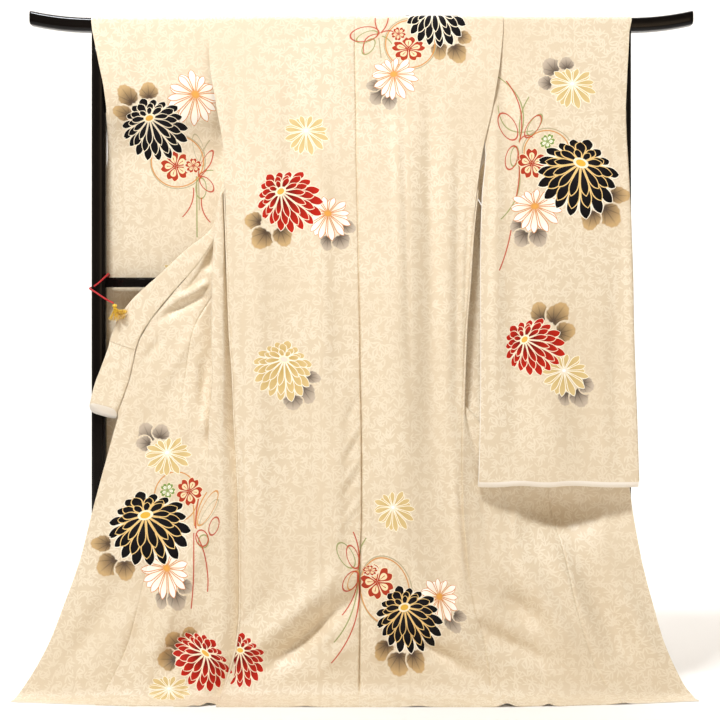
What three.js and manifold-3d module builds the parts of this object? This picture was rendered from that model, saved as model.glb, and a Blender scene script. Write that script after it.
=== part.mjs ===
// Furisode kimono hung by its shoulders over a lacquered rack, seen from the back of the garment.
// Millimetres, +Z up, +X to the viewer's right, +Y away from the viewer, floor at Z = 0.
import * as THREE from "three";
import { mergeVertices } from "three/addons/utils/BufferGeometryUtils.js";
import Module from "manifold-3d";

const ORIGIN_X = 6.5; // moves the bar's centre so that the origin lies under the middle of the footprint
const ORIGIN_Y = 28;

// cloth
const WALL = 2; // silk with its lining
const GAP = 0.3; // between sewn pieces
const SEAM_EASE = 0.9; // more beside the slanting collar
const SLEEVE_LIFT = 1.3; // middle of the sleeve's wall above the bar
const BODY_LIFT = 3.7; // middle of the body's wall above the bar, over the sleeve
// rack
const BAR_TOP = 1503;
const BAR_HIGH = 31;
const BAR_DEEP = 36;
const BAR_ROUND = 8;
const BAR_REACH = 742; // half its length
const BAR_RISE = 16; // upward curve of its ends
const BAR_CURVE_FROM = 600;
const POST_X = 588;
const POST_SIDE = 32;
const POST_CHAMFER = 8;
const RAIL_LOW = 900;
const RAIL_TOP = 922;
const RAIL_DEEP = 22;
const FOOT_FRONT = 92;
const FOOT_REAR = 134;
const FOOT_HIGH = 45;
const FOOT_TOE = 18;
const FOOT_WIDE = 40;

// Body sections from the bar down to the hem, which lies forward on the floor.
// y is the back panels' middle surface, the others are the x of its seams.
const BACK_Z = 0;
const BACK_Y = 1;
const BACK_LEFT = 2;
const BACK_MIDDLE = 3;
const BACK_RIGHT = 4;
const BACK = [
  // z, y, left side, centre seam, right side
  [1470, -22.4, -341, -14, 316],
  [1400, -26, -338, -14, 309],
  [1300, -30, -322, -12, 292],
  [1200, -34, -306, -11, 269],
  [1100, -38, -302, -9, 255],
  [1000, -42, -298, -7, 245],
  [900, -46.5, -294, -5, 238],
  [800, -50, -290, -3, 230],
  [700, -53, -283, -2, 226],
  [600, -57, -279, 0, 223],
  [500, -61, -272, 1, 222],
  [400, -65, -268, 1, 225],
  [300, -69, -266, -2, 233],
  [200, -75, -265, -3, 247],
  [120, -82, -271, -3, 269],
  [60, -90, -285, -4, 279],
  [25, -101, -296, -4, 283],
  [8, -117, -302, -4, 293],
  [2, -150, -305, -4, 300],
  [1.3, -190, -306, -4, 306],
];
// Left front, drawn out to the viewer's left. From the side seam it rolls over a ridge, turns back behind
// the back panel as far as the fold, and comes out again to the okumi seam and to the front edge.
// open is 0 where the fold is closed and 1 where the cloth lies flat.
const LEFT_FIELDS = ["z", "freeX", "ridgeL", "ridgeR", "ridgeY", "foldX", "innerY", "outerY", "okumiX",
  "okumiY", "edgeX", "edgeY", "open"];
const LEFT = [
  [1470, -340, -334, -328, 22, -96, 22, 22.5, -76, 23, -70, 23, 0],
  [1400, -273, -267, -261, 25, -146, 25, 25.5, -123.5, 36, -122, 36, 0],
  [1300, -262, -256, -250, 8, -200, 8, 9, -175.5, 18, -174, 19, 0],
  [1200, -262, -257, -251, -20, -140, -18, -3, -214, -4, -226, -4, 0],
  [1100, -302, -316, -309, -38, -182, -29, -13, -255, -14, -280, -14, 0],
  [1000, -298, -327, -306, -43, -200, -32, -17, -274, -17, -329, -17, 0],
  [900, -294, -331, -308, -47, -225, -36, -20, -322, -19, -409, -18, 0],
  [800, -290, -331, -308, -51, -252, -41, -26, -375, -25, -484, -25, 0],
  [700, -283, -329, -306, -54, -280, -45, -32, -392, -31, -513, -30, 0],
  [600, -279, -336, -309, -57, -312, -50, -40, -405, -39, -543, -36, 0],
  [500, -272, -338, -310, -61, -356, -57, -54, -421, -50, -569, -48, 0.7],
  [400, -268, -333, -302, -65, -385, -63, -62, -445, -60, -594, -60, 1],
  [300, -266, -336, -302, -70, -396, -70, -70, -468, -70, -618, -70, 1],
  [200, -265, -342, -304, -78, -408, -79, -79, -490, -80, -652, -81, 1],
  [120, -271, -352, -312, -86, -424, -88, -88, -510, -89, -682, -91, 1],
  [60, -285, -368, -328, -95, -446, -97, -97, -534, -98, -713, -101, 1],
  [25, -296, -382, -341, -105, -464, -107, -107, -553, -108, -735, -109, 1],
  [8, -302, -390, -347, -119, -472, -120, -120, -562, -120, -747, -117, 1],
  [2, -305, -393, -349, -149, -476, -146, -146, -566, -141, -752, -128, 1],
  [1.3, -306, -394, -350, -187, -478, -181, -181, -568, -172, -755, -142, 1],
];
// Right front, drawn out to the right behind the sleeve, with one fold behind the back panel.
const RIGHT_FIELDS = ["z", "freeX", "foldX", "innerY", "outerY", "okumiX", "okumiY", "edgeX", "edgeY",
  "open"];
const RIGHT = [
  [1470, 313, 68, 22, 22.5, 48, 23, 42, 23, 0],
  [1400, 300, 118, 24, 24.5, 95.5, 36, 94, 36, 0],
  [1300, 292, 172, 12, 11, 147.5, 20, 146, 21, 0],
  [1200, 284, 100, -12, 4, 186, 2, 198, 2, 0],
  [1100, 255, 106, -28, -12, 236, -13, 259, -13, 0],
  [1000, 245, 112, -32, -16, 264, -16, 313, -16, 0],
  [900, 238, 122, -36, -20, 302, -19, 366, -18, 0],
  [800, 230, 136, -40, -24, 340, -23, 420, -22, 0],
  [700, 226, 158, -45, -30, 376, -28, 474, -26, 0],
  [600, 223, 262, -50, -42, 402, -35, 524, -33, 0.75],
  [500, 222, 305, -52, -47, 414, -41, 568, -40, 1],
  [400, 225, 322, -59, -57, 427, -53, 592, -51, 1],
  [300, 233, 340, -66, -65, 450, -63, 617, -62, 1],
  [200, 247, 358, -74, -73, 471, -72, 641, -71, 1],
  [120, 269, 381, -81, -81, 493, -80, 663, -79, 1],
  [60, 279, 397, -89, -89, 515, -88, 688, -87, 1],
  [25, 283, 409, -99, -99, 535, -98, 706, -95, 1],
  [8, 293, 423, -114, -113, 556, -109, 720, -103, 1],
  [2, 300, 430, -144, -141, 563, -132, 725, -117, 1],
  [1.3, 306, 436, -182, -176, 568, -164, 729, -133, 1],
];
// Sleeve walls: front and rear, each with x at the swinging side, x at the cuff side, and y.
const SLEEVE_FIELDS = ["z", "frontIn", "frontOut", "frontY", "rearIn", "rearOut", "rearY"];
const SLEEVE_LEFT = [
  [1470, -270, -600, -19.6, -270, -602, 19.6],
  [1430, -273, -592, -20.1, -273, -601, 20.4],
  [1400, -276, -586, -20.5, -276, -600, 21],
  [1340, -284, -574, -19.8, -284, -588, 23],
  [1290, -292, -569.5, -12, -292, -569.5, 26],
  [1240, -298, -569.5, 8, -298, -570, 30],
  [1190, -299, -570, 19, -299, -572, 33],
  [1100, -300, -579, 21, -300, -580, 34],
  [1000, -300, -580, 23.5, -300, -581, 36],
  [911, -300, -580, 24.5, -300, -581, 37],
  [800, -300, -580, 24, -300, -581, 36],
  [640, -298, -580, 22, -298, -581, 34],
  [470, -296, -580, 20, -296, -581, 32],
];
const SLEEVE_RIGHT = [
  [1470, 268, 598, -19.6, 268, 600, 19.6],
  [1430, 268, 596, -20.6, 268, 569, 19.4],
  [1400, 268, 594, -21.5, 268, 566, 14],
  [1340, 268, 591, -23.6, 268, 566, -8],
  [1290, 269, 589, -25.6, 269, 569, -18.5],
  [1240, 272, 589, -28, 272, 586, -19.4],
  [1190, 276, 591, -30, 276, 590, -20.8],
  [1100, 268, 595, -35, 268, 594, -25],
  [1000, 264, 598, -40, 265, 597, -29],
  [911, 263, 600, -45, 264, 599, -33],
  [800, 263, 601, -51, 264, 600, -39.5],
  [640, 262, 605, -61, 263, 604, -49.5],
  [470, 257, 609, -72, 258, 608, -60],
];
const SLEEVE_END = 459; // lowest line of the sleeve
const SLEEVE_TOP_OUT = 603; // reach of the cuff on top of the bar
const CUFF_ROWS = 5; // rows of the tables above are open at the cuff

// Collar band, from the middle of the neck outwards: free edge, seam edge and thickness.
// Behind the back panel it turns over, so that its free edge comes out on the far side.
const COLLAR_FIELDS = ["freeX", "freeY", "freeZ", "seamX", "seamY", "seamZ", "thick"];
const COLLAR_LEFT = [
  [-14, 33, 1422, -14, 27, 1477, 5],
  [-40, 33, 1421, -46, 27, 1475, 5],
  [-60, 37, 1404, -84, 29, 1452, 5],
  [-73, 42, 1372, -122, 36, 1400, 5],
  [-102, 58, 1326, -148, 32, 1350, 5],
  [-148, 66, 1288, -174, 22, 1300, 5],
  [-204, 62, 1254, -200, 9, 1250, 5],
  [-258, 30, 1216, -226, -4, 1200, 5],
  [-296, -11, 1172, -253, -12, 1150, 5],
  [-316, -13, 1110, -280, -14, 1100, 5],
  [-330, -14, 1040, -305, -16, 1044, 5],
  [-396, -15, 980, -365, -18, 950, 5],
  [-451, -17, 928, -413, -18, 896, 5],
  [-514, -20, 869, -468, -22, 828, 6],
  [-545, -23, 824, -494, -26, 784, 7],
  [-561, -25, 778, -502, -28, 758, 8],
  [-563, -26, 768, -504, -28, 748, 8],
  [-579, -28, 722, -515, -31, 696, 10],
  [-595, -30, 677, -529, -34, 653, 14],
  [-604, -32, 632, -543, -36, 616, 20],
];
const COLLAR_LEFT_OVER = 16; // row at which the over-collar ends
const COLLAR_RIGHT = [
  [-14, 33, 1422, -14, 27, 1477, 5],
  [12, 33, 1421, 18, 27, 1475, 5],
  [32, 37, 1404, 56, 29, 1452, 5],
  [45, 42, 1372, 94, 36, 1400, 5],
  [74, 58, 1326, 120, 32, 1350, 5],
  [120, 68, 1288, 146, 24, 1300, 5],
  [176, 66, 1254, 172, 13, 1250, 5],
  [232, 38, 1222, 198, 2, 1200, 5],
  [280, 0, 1178, 228, -8, 1150, 5],
  [310, -10, 1126, 259, -13, 1100, 5],
  [364, -12, 1028, 313, -16, 1000, 5],
  [418, -15, 928, 366, -18, 900, 5],
  [452, -17, 862, 402, -20, 834, 6],
  [500, -20, 778, 446, -24, 752, 8],
  [526, -22, 729, 474, -26, 700, 9],
  [548, -24, 688, 496, -29, 664, 12],
  [566, -26, 652, 515, -31, 626, 16],
];
const COLLAR_RIGHT_OVER = 13;
const COLLAR_SLANT = 12; // the end of the band is turned up to the viewer by this much

// The largest soft folds, as troughs (+) and ridges (-) along straight lines seen from in front.
const FOLDS = [
  // from x, from z, to x, to z, half width, depth
  [40, 1440, 70, 420, 26, 4],
  [118, 1420, 96, 380, 30, 5],
  [188, 1330, 186, 300, 34, 6],
  [-92, 1200, -70, 300, 30, -3],
  [-180, 1330, -200, 260, 34, 4],
  [-246, 900, -232, 240, 22, 4],
  [-84, 190, -236, 44, 34, 12],
  [-30, 620, -14, 330, 16, 3],
  [170, 190, 276, 60, 34, 12],
  [306, 224, 396, 150, 36, 12],
  [268, 142, 420, 62, 30, 10],
  [-420, 420, -500, 110, 42, 8],
  [-330, 400, -470, 60, 30, -7],
  [470, 380, 590, 70, 40, 8],
  [360, 420, 470, 130, 34, -6],
  [60, 300, 30, 60, 34, -6],
];

function slope(before, at, after) {
  const a = at - before;
  const b = after - at;
  if (a * b <= 0) return 0;
  return (2 * a * b) / (a + b);
}

// A column of a table at a fractional row, without overshoot.
function read(table, column, row) {
  const last = table.length - 1;
  const k = Math.min(Math.floor(row), last - 1);
  const t = row - k;
  const p = table[k][column];
  const q = table[k + 1][column];
  const m = k > 0 ? slope(table[k - 1][column], p, q) : q - p;
  const n = k + 2 <= last ? slope(p, q, table[k + 2][column]) : q - p;
  const t2 = t * t;
  const t3 = t2 * t;
  return p * (2 * t3 - 3 * t2 + 1) + m * (t3 - 2 * t2 + t) + q * (3 * t2 - 2 * t3) + n * (t3 - t2);
}

function readFields(table, fields, row) {
  const out = {};
  fields.forEach((name, column) => {
    out[name] = read(table, column, row);
  });
  return out;
}

function smooth(from, to, x) {
  const t = Math.min(Math.max((x - from) / (to - from), 0), 1);
  return t * t * (3 - 2 * t);
}

const mix = (a, b, t) => a + (b - a) * t;
const at = (x, y, z) => new THREE.Vector3(x, y, z);

// How far the folds push a point of cloth away from the viewer.
function foldDepth(x, z) {
  let sum = 0;
  for (const [x0, z0, x1, z1, half, depth] of FOLDS) {
    const dx = x1 - x0;
    const dz = z1 - z0;
    const t = ((x - x0) * dx + (z - z0) * dz) / (dx * dx + dz * dz);
    const along = Math.min(Math.max(t, 0), 1);
    const off = Math.hypot(x - x0 - along * dx, z - z0 - along * dz) / half;
    const ends = Math.sin(Math.PI * (0.12 + 0.76 * along));
    sum += depth * ends * Math.exp(-off * off * 1.6);
  }
  return sum * smooth(20, 120, z);
}

// A closed wall round a surface given by points and four-cornered faces, turned to the viewer's side.
function wall(points, faces, thick) {
  const normals = points.map(() => new THREE.Vector3());
  for (const face of faces) {
    const corners = face.map((i) => points[i]);
    const first = corners[face.length - 2].clone().sub(corners[0]);
    const second = corners[face.length - 1].clone().sub(corners[face.length - 3]);
    const n = first.cross(second).normalize();
    face.forEach((i) => normals[i].add(n));
  }
  normals.forEach((n) => n.normalize());
  const outer = points.map((p, i) => p.clone().addScaledVector(normals[i], thick / 2));
  const inner = points.map((p, i) => p.clone().addScaledVector(normals[i], -thick / 2));
  const count = points.length;
  const index = [];
  const edges = new Map();
  for (const face of faces) {
    for (let k = 1; k + 1 < face.length; k++) {
      index.push(face[0], face[k], face[k + 1]);
      index.push(face[0] + count, face[k + 1] + count, face[k] + count);
    }
    face.forEach((from, k) => {
      const to = face[(k + 1) % face.length];
      const twin = to + "," + from;
      if (edges.has(twin)) edges.delete(twin);
      else edges.set(from + "," + to, [from, to]);
    });
  }
  for (const [from, to] of edges.values()) {
    index.push(to, from, from + count, to, from + count, to + count);
  }
  const geometry = new THREE.BufferGeometry();
  geometry.setFromPoints([...outer, ...inner]);
  geometry.setIndex(index);
  return geometry;
}

// The faces of a grid whose rows run down and whose columns run to the viewer's right.
function gridFaces(rows, columns) {
  const faces = [];
  for (let i = 0; i + 1 < rows; i++) {
    for (let j = 0; j + 1 < columns; j++) {
      const a = i * columns + j;
      faces.push([a, a + columns, a + columns + 1, a + 1]);
    }
  }
  return faces;
}

function sheet(lines, thick) {
  return wall(lines.flat(), gridFaces(lines.length, lines[0].length), thick);
}

// A closed solid through rings of equal length, capped at both ends, with its faces turned out.
function loft(rings) {
  const size = rings[0].length;
  const faces = [];
  for (let i = 0; i + 1 < rings.length; i++) {
    for (let j = 0; j < size; j++) {
      const a = i * size + j;
      const b = i * size + ((j + 1) % size);
      faces.push([a, b, b + size], [a, b + size, a + size]);
    }
  }
  const end = (rings.length - 1) * size;
  for (let j = 1; j + 1 < size; j++) {
    faces.push([0, j + 1, j], [end, end + j, end + j + 1]);
  }
  const points = rings.flat();
  const cross = at(0, 0, 0);
  const volume = (f) => points[f[0]].dot(cross.crossVectors(points[f[1]], points[f[2]]));
  const inside = faces.reduce((sum, f) => sum + volume(f), 0) < 0;
  const geometry = new THREE.BufferGeometry();
  geometry.setFromPoints(points);
  geometry.setIndex(faces.flatMap((f) => (inside ? [f[0], f[2], f[1]] : f)));
  return geometry;
}

const group = new THREE.Group();

function add(name, geometry, material) {
  const mesh = new THREE.Mesh(geometry, material);
  mesh.name = name;
  group.add(mesh);
  return mesh;
}

const silk = new THREE.MeshStandardMaterial({ color: "#ead6b4", roughness: 0.55, metalness: 0 });
const lacquer = new THREE.MeshStandardMaterial({ color: "#15110f", roughness: 0.18, metalness: 0 });
const redCord = new THREE.MeshStandardMaterial({ color: "#c01f1c", roughness: 0.8, metalness: 0 });
const yellowSilk = new THREE.MeshStandardMaterial({ color: "#e0a516", roughness: 0.8, metalness: 0 });

// The line over the bar at a distance from it, from behind to the front, as y and z.
function overBar(lift) {
  const half = BAR_DEEP / 2;
  const r = BAR_ROUND + lift;
  const mid = r * Math.SQRT1_2;
  const cy = half - BAR_ROUND;
  const cz = BAR_TOP - BAR_ROUND;
  return [
    [cy + r, cz],
    [cy + mid, cz + mid],
    [cy, cz + r],
    [-cy, cz + r],
    [-cy - mid, cz + mid],
    [-cy - r, cz],
  ];
}

// Rows of the body at which the solids have points.
const BODY_ROWS = [];
for (let row = 0; row < BACK.length; row++) {
  BODY_ROWS.push(row);
  if (row >= 3 && row < 16) BODY_ROWS.push(row + 0.5);
}

// Back panels: from behind the bar, over it and down to the hem.
function backPoint(row, share, from, to) {
  const z = read(BACK, BACK_Z, row);
  const x = mix(read(BACK, from, row), read(BACK, to, row), share);
  return at(x, read(BACK, BACK_Y, row) + foldDepth(x, z), z);
}

function backPanel(from, to, gapFrom, gapTo, columns) {
  const lines = [];
  const across = [];
  for (let j = 0; j <= columns; j++) across.push(j / columns);
  const place = (x0, x1, share) => mix(x0 + gapFrom, x1 - gapTo, share);
  const top = BACK[0];
  const behind = BAR_DEEP / 2 + BODY_LIFT;
  const end = top[BACK_Z] + 3 * GAP;
  lines.push(across.map((s) => at(place(top[from], top[to], s), behind, end)));
  for (const [y, z] of overBar(BODY_LIFT)) {
    lines.push(across.map((s) => at(place(top[from], top[to], s), y, z)));
  }
  for (const row of BODY_ROWS) {
    const width = read(BACK, to, row) - read(BACK, from, row);
    lines.push(
      across.map((s) => {
        const share = (gapFrom + s * (width - gapFrom - gapTo)) / width;
        return backPoint(row, share, from, to);
      }),
    );
  }
  return sheet(lines, WALL);
}

add("back_left", backPanel(BACK_LEFT, BACK_MIDDLE, 0, GAP / 2, 9), silk);
add("back_right", backPanel(BACK_MIDDLE, BACK_RIGHT, GAP / 2, 0, 9), silk);

// One section of the left front from its side seam to the okumi seam.
function leftSection(row) {
  const s = readFields(LEFT, LEFT_FIELDS, row);
  const seamed = 1 - smooth(1101, 1150, s.z); // 1 where the side seam is sewn
  const turned = 1 - 2 * smooth(1200, 1290, s.z); // -1 where the front edge is not yet turned over
  s.freeX = mix(read(BACK, BACK_LEFT, row), s.freeX, smooth(1151, 1199, s.z));
  const closed = 1 - 2 * s.open;
  const deep = 11 * seamed * (1 - s.open * 0.6);
  const backY = read(BACK, BACK_Y, row) + foldDepth(s.freeX, s.z) * seamed;
  const sideY = mix(s.innerY, backY, seamed);
  const ridgeY = mix(s.innerY, s.ridgeY, seamed);
  const midRidge = (s.ridgeL + s.ridgeR) / 2;
  const valleyX = (s.freeX + s.ridgeR) / 2;
  const section = [
    [s.freeX - GAP - 0.7 * smooth(1000, 1100, s.z), sideY],
    [s.freeX - 2.6, sideY + 0.4],
    [valleyX, mix(sideY, ridgeY, 0.5) + deep],
    [s.ridgeR, ridgeY + 2.5 * seamed * (1 - s.open)],
    [midRidge, ridgeY],
    [s.ridgeL, ridgeY + mix(0, 4, seamed) * (1 - s.open)],
    [s.ridgeL + mix(6, 9, seamed) * closed, mix(ridgeY, s.innerY, 0.8)],
    [(s.ridgeL + s.foldX) / 2, s.innerY],
    [s.foldX - 7 * closed, s.innerY + 1],
    [s.foldX, (s.innerY + s.outerY) / 2],
    [s.foldX - 7 * turned, s.outerY - 1],
    [(s.foldX + s.okumiX) / 2, (s.outerY + s.okumiY) / 2],
    [s.okumiX + GAP / 2, s.okumiY],
  ];
  if (s.z > 1101) {
    // above the side seam the free edge runs straight on
    const t = smooth(1101, 1190, s.z);
    const x0 = s.freeX;
    for (let k = 1; k < 7; k++) section[k][0] = mix(section[k][0], x0 + k * 4, t);
  }
  return { z: s.z, open: s.open, section, fields: s };
}

function frontLines(rows, make) {
  return rows.map((row) => {
    const { z, open, section } = make(row);
    return section.map(([x, y]) => at(x, y + open * foldDepth(x, z), z)).reverse();
  });
}

add("front_left", sheet(frontLines(BODY_ROWS, leftSection), WALL), silk);

// One section of the right front from its side seam to the okumi seam.
function rightSection(row) {
  const s = readFields(RIGHT, RIGHT_FIELDS, row);
  const seamed = 1 - smooth(1101, 1150, s.z);
  const turned = 1 - 2 * smooth(1200, 1290, s.z);
  s.freeX = mix(read(BACK, BACK_RIGHT, row), s.freeX, smooth(1151, 1199, s.z));
  const closed = 1 - 2 * s.open;
  const backY = read(BACK, BACK_Y, row) + foldDepth(s.freeX, s.z) * seamed;
  const sideY = mix(s.innerY, backY, seamed);
  const step = mix(8, (s.foldX - s.freeX) / 4, s.open);
  const hem = mix(-1, 1, seamed); // the free edge above the side seam runs straight on
  const section = [
    [s.freeX + GAP + 0.9 * smooth(1000, 1100, s.z), sideY],
    [s.freeX + 3.4 * hem, sideY + 0.4],
    [s.freeX + mix(4 * hem, step, s.open), mix(sideY, s.innerY, 0.45)],
    [s.freeX + mix(-5, 2 * step, s.open), s.innerY],
    [mix((s.freeX + s.foldX) / 2, s.freeX + 3 * step, s.open), s.innerY],
    [s.foldX + 7 * closed, s.innerY + 1],
    [s.foldX, (s.innerY + s.outerY) / 2],
    [s.foldX + 7 * turned, s.outerY - 1],
    [mix(s.foldX, s.okumiX, 0.36), mix(s.outerY, s.okumiY, 0.36)],
    [mix(s.foldX, s.okumiX, 0.68), mix(s.outerY, s.okumiY, 0.68)],
    [s.okumiX - GAP / 2, s.okumiY],
  ];
  return { z: s.z, open: s.open, section, fields: s };
}

function rightLines(rows, make) {
  return rows.map((row) => {
    const { z, open, section } = make(row);
    return section.map(([x, y]) => at(x, y + open * foldDepth(x, z), z));
  });
}

add("front_right", sheet(rightLines(BODY_ROWS, rightSection), WALL), silk);

// The collar seam at a height, along the straight stretches between its rows.
function collarSeam(table, z) {
  for (let k = 0; k + 1 < table.length; k++) {
    const [x0, y0, z0] = table[k].slice(3, 6);
    const [x1, y1, z1] = table[k + 1].slice(3, 6);
    if (z <= z0 && z >= z1) {
      const t = (z0 - z) / (z0 - z1);
      return [mix(x0, x1, t), mix(y0, y1, t)];
    }
  }
  return null;
}

// Okumi: from its point on the collar seam down to the hem.
const OKUMI_ROWS = BODY_ROWS.filter((row) => row >= 3);
const OKUMI_COLUMNS = 4;
function okumiLines(make, side, collar) {
  return OKUMI_ROWS.map((row) => {
    const { z, open, fields } = make(row);
    const line = [];
    for (let j = 0; j <= OKUMI_COLUMNS; j++) {
      const t = j / OKUMI_COLUMNS;
      const x0 = fields.okumiX + side * (GAP / 2);
      const seam = collarSeam(collar, z);
      const [x1, y1] = seam ? [seam[0] - side * SEAM_EASE, seam[1]] : [fields.edgeX, fields.edgeY];
      const x = mix(x0, x1, t);
      const y = mix(fields.okumiY, y1, t);
      line.push(at(x, y + open * foldDepth(x, z), z));
    }
    return side < 0 ? line.reverse() : line;
  });
}

add("okumi_left", sheet(okumiLines(leftSection, -1, COLLAR_LEFT), WALL), silk);
add("okumi_right", sheet(okumiLines(rightSection, 1, COLLAR_RIGHT), WALL), silk);

// Sleeve: a bag over the bar, open at its inner side and at the cuff.
function sleeve(table, columns) {
  const rows = [];
  for (let r = table.length - 1; r >= 0; r--) {
    rows.push(r);
    if (r > 5) rows.push(r - 0.5);
  }
  const over = overBar(SLEEVE_LIFT).reverse();
  const points = [];
  const ring = [];
  const sign = Math.sign(table[0][2]);
  for (const row of rows) {
    const s = readFields(table, SLEEVE_FIELDS, row);
    ring.push({ inX: s.frontIn, outX: s.frontOut, y: s.frontY, z: s.z });
  }
  for (const [y, z] of over) {
    ring.push({ inX: table[0][1], outX: sign * SLEEVE_TOP_OUT, y, z });
  }
  for (const row of [...rows].reverse()) {
    const s = readFields(table, SLEEVE_FIELDS, row);
    ring.push({ inX: s.rearIn, outX: s.rearOut, y: s.rearY, z: s.z });
  }
  const low = ring[0];
  const lowRear = ring[ring.length - 1];
  ring.push({ inX: low.inX, outX: low.outX, y: (low.y + lowRear.y) / 2, z: SLEEVE_END });
  const n = ring.length;
  for (let j = 0; j <= columns; j++) {
    for (const p of ring) points.push(at(mix(p.inX, p.outX, j / columns), p.y, p.z));
  }
  const faces = [];
  for (let j = 0; j < columns; j++) {
    for (let i = 0; i < n; i++) {
      const a = j * n + i;
      const b = j * n + ((i + 1) % n);
      faces.push(sign > 0 ? [a, a + n, b + n, b] : [a, b, b + n, a + n]);
    }
  }
  // the cuff side is closed from the bottom up to the cuff opening
  const last = columns * n;
  const closedRows = rows.filter((row) => row >= CUFF_ROWS - 1).length;
  const bottom = [last + n - 1, last, last + n - 2];
  faces.push(sign > 0 ? bottom.reverse() : bottom);
  for (let i = 0; i + 1 < closedRows; i++) {
    const a = last + i;
    const b = last + n - 2 - i;
    faces.push(sign > 0 ? [a, b, b - 1, a + 1] : [a, a + 1, b - 1, b]);
  }
  return wall(points, faces, WALL);
}

add("sleeve_left", sleeve(SLEEVE_LEFT, 6), silk);
add("sleeve_right", sleeve(SLEEVE_RIGHT, 6), silk);

// Collar: a folded band, flat as a lens, through rings along its length.
const LENS = [
  // share of the width, share of half the thickness
  [0, 0.4],
  [0.12, 0.9],
  [0.5, 1],
  [0.88, 0.9],
  [1, 0.4],
  [1, -0.4],
  [0.88, -0.9],
  [0.5, -1],
  [0.12, -0.9],
  [0, -0.4],
];

function collarRings(table, from, to, thicker, slant) {
  const middle = table.map((r) => at((r[0] + r[3]) / 2, (r[1] + r[4]) / 2, (r[2] + r[5]) / 2));
  const rings = [];
  for (let k = from; k <= to; k++) {
    const s = readFields(table, COLLAR_FIELDS, k);
    const free = at(s.freeX, s.freeY, s.freeZ);
    const seam = at(s.seamX, s.seamY, s.seamZ);
    const across = seam.clone().sub(free);
    const wide = across.length();
    across.normalize();
    const along = middle[Math.min(k + 1, table.length - 1)].clone().sub(middle[Math.max(k - 1, 0)]);
    const out = across.clone().cross(along).normalize();
    if (table === COLLAR_RIGHT) out.negate();
    const ring = LENS.map(([share, side]) => {
      const lift = ((s.thick + thicker) / 2) * side;
      const place = mix(0, wide - GAP - 0.2, share);
      const p = free.clone().addScaledVector(across, place).addScaledVector(out, lift);
      if (slant && k === to) p.z -= COLLAR_SLANT * side;
      return p;
    });
    rings.push(ring);
  }
  return rings;
}

// Moves the first ring a little toward the second, to part it from its neighbour.
function shifted(rings) {
  const step = (p, i) => p.clone().lerp(rings[1][i], GAP / p.distanceTo(rings[1][i]));
  rings[0] = rings[0].map(step);
  return rings;
}

const leftEnd = COLLAR_LEFT_OVER - 1;
const rightEnd = COLLAR_RIGHT_OVER - 1;
const overLeft = collarRings(COLLAR_LEFT, 0, leftEnd, 1, false);
const overRight = collarRings(COLLAR_RIGHT, 0, rightEnd, 1, false);
add("over_collar", loft([...overRight.slice(1).reverse(), ...overLeft]), silk);
const endLeft = collarRings(COLLAR_LEFT, leftEnd, COLLAR_LEFT.length - 1, 0, true);
const endRight = collarRings(COLLAR_RIGHT, rightEnd, COLLAR_RIGHT.length - 1, 0, true);
add("collar_left", loft(shifted(endLeft)), silk);
add("collar_right", loft(shifted(endRight)), silk);

// Rack. The top bar is one rounded section carried along, with ends that curve up.
function barSection(x, z, scale) {
  const ring = [];
  const half = BAR_DEEP / 2;
  const low = BAR_TOP - BAR_HIGH;
  const corners = [
    [half - BAR_ROUND, BAR_TOP - BAR_ROUND, 0],
    [-half + BAR_ROUND, BAR_TOP - BAR_ROUND, 90],
    [-half + BAR_ROUND, low + BAR_ROUND, 180],
    [half - BAR_ROUND, low + BAR_ROUND, 270],
  ];
  for (const [cy, cz, turn] of corners) {
    for (const step of [0, 45, 90]) {
      const angle = ((turn + step) * Math.PI) / 180;
      const y = (cy + BAR_ROUND * Math.cos(angle)) * scale;
      const mid = BAR_TOP - BAR_HIGH / 2;
      ring.push(at(x, y, mid + (cz + BAR_ROUND * Math.sin(angle) - mid) * scale + z));
    }
  }
  return ring;
}

const barRings = [];
for (const side of [-1, 1]) {
  const half = [];
  for (const share of [0, 0.3, 0.6, 0.85, 0.97, 1]) {
    const x = mix(BAR_CURVE_FROM, BAR_REACH, share);
    half.push(barSection(side * x, BAR_RISE * share * share, share === 1 ? 0.8 : 1));
  }
  barRings.push(...(side < 0 ? half.reverse() : half));
}
add("top_bar", loft(barRings), lacquer);

// Posts are square with broad chamfers and end under the bar.
const half = POST_SIDE / 2;
const flat = half - POST_CHAMFER;
const POST_RING = [
  [-half, -flat],
  [-flat, -half],
  [flat, -half],
  [half, -flat],
  [half, flat],
  [flat, half],
  [-flat, half],
  [-half, flat],
];
const postTop = BAR_TOP - BAR_HIGH - GAP;
for (const [name, side] of [["left", -1], ["right", 1]]) {
  const ringAt = (z) => POST_RING.map(([x, y]) => at(side * POST_X + x, y, z));
  add("post_" + name, loft([ringAt(FOOT_HIGH + GAP), ringAt(postTop)]), lacquer);
  const foot = [
    // y, height
    [-FOOT_FRONT, FOOT_TOE],
    [-FOOT_FRONT + 22, FOOT_HIGH - 5],
    [-FOOT_FRONT + 34, FOOT_HIGH],
    [FOOT_REAR - 34, FOOT_HIGH],
    [FOOT_REAR - 22, FOOT_HIGH - 5],
    [FOOT_REAR, FOOT_TOE],
  ];
  const w = FOOT_WIDE / 2;
  const footRing = ([y, high]) => {
    const x = side * POST_X;
    return [at(x - w, y, 0), at(x + w, y, 0), at(x + w, y, high - 3), at(x + w - 3, y, high),
      at(x - w + 3, y, high), at(x - w, y, high - 3)];
  };
  add("foot_" + name, loft(foot.map(footRing)), lacquer);
}

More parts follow.
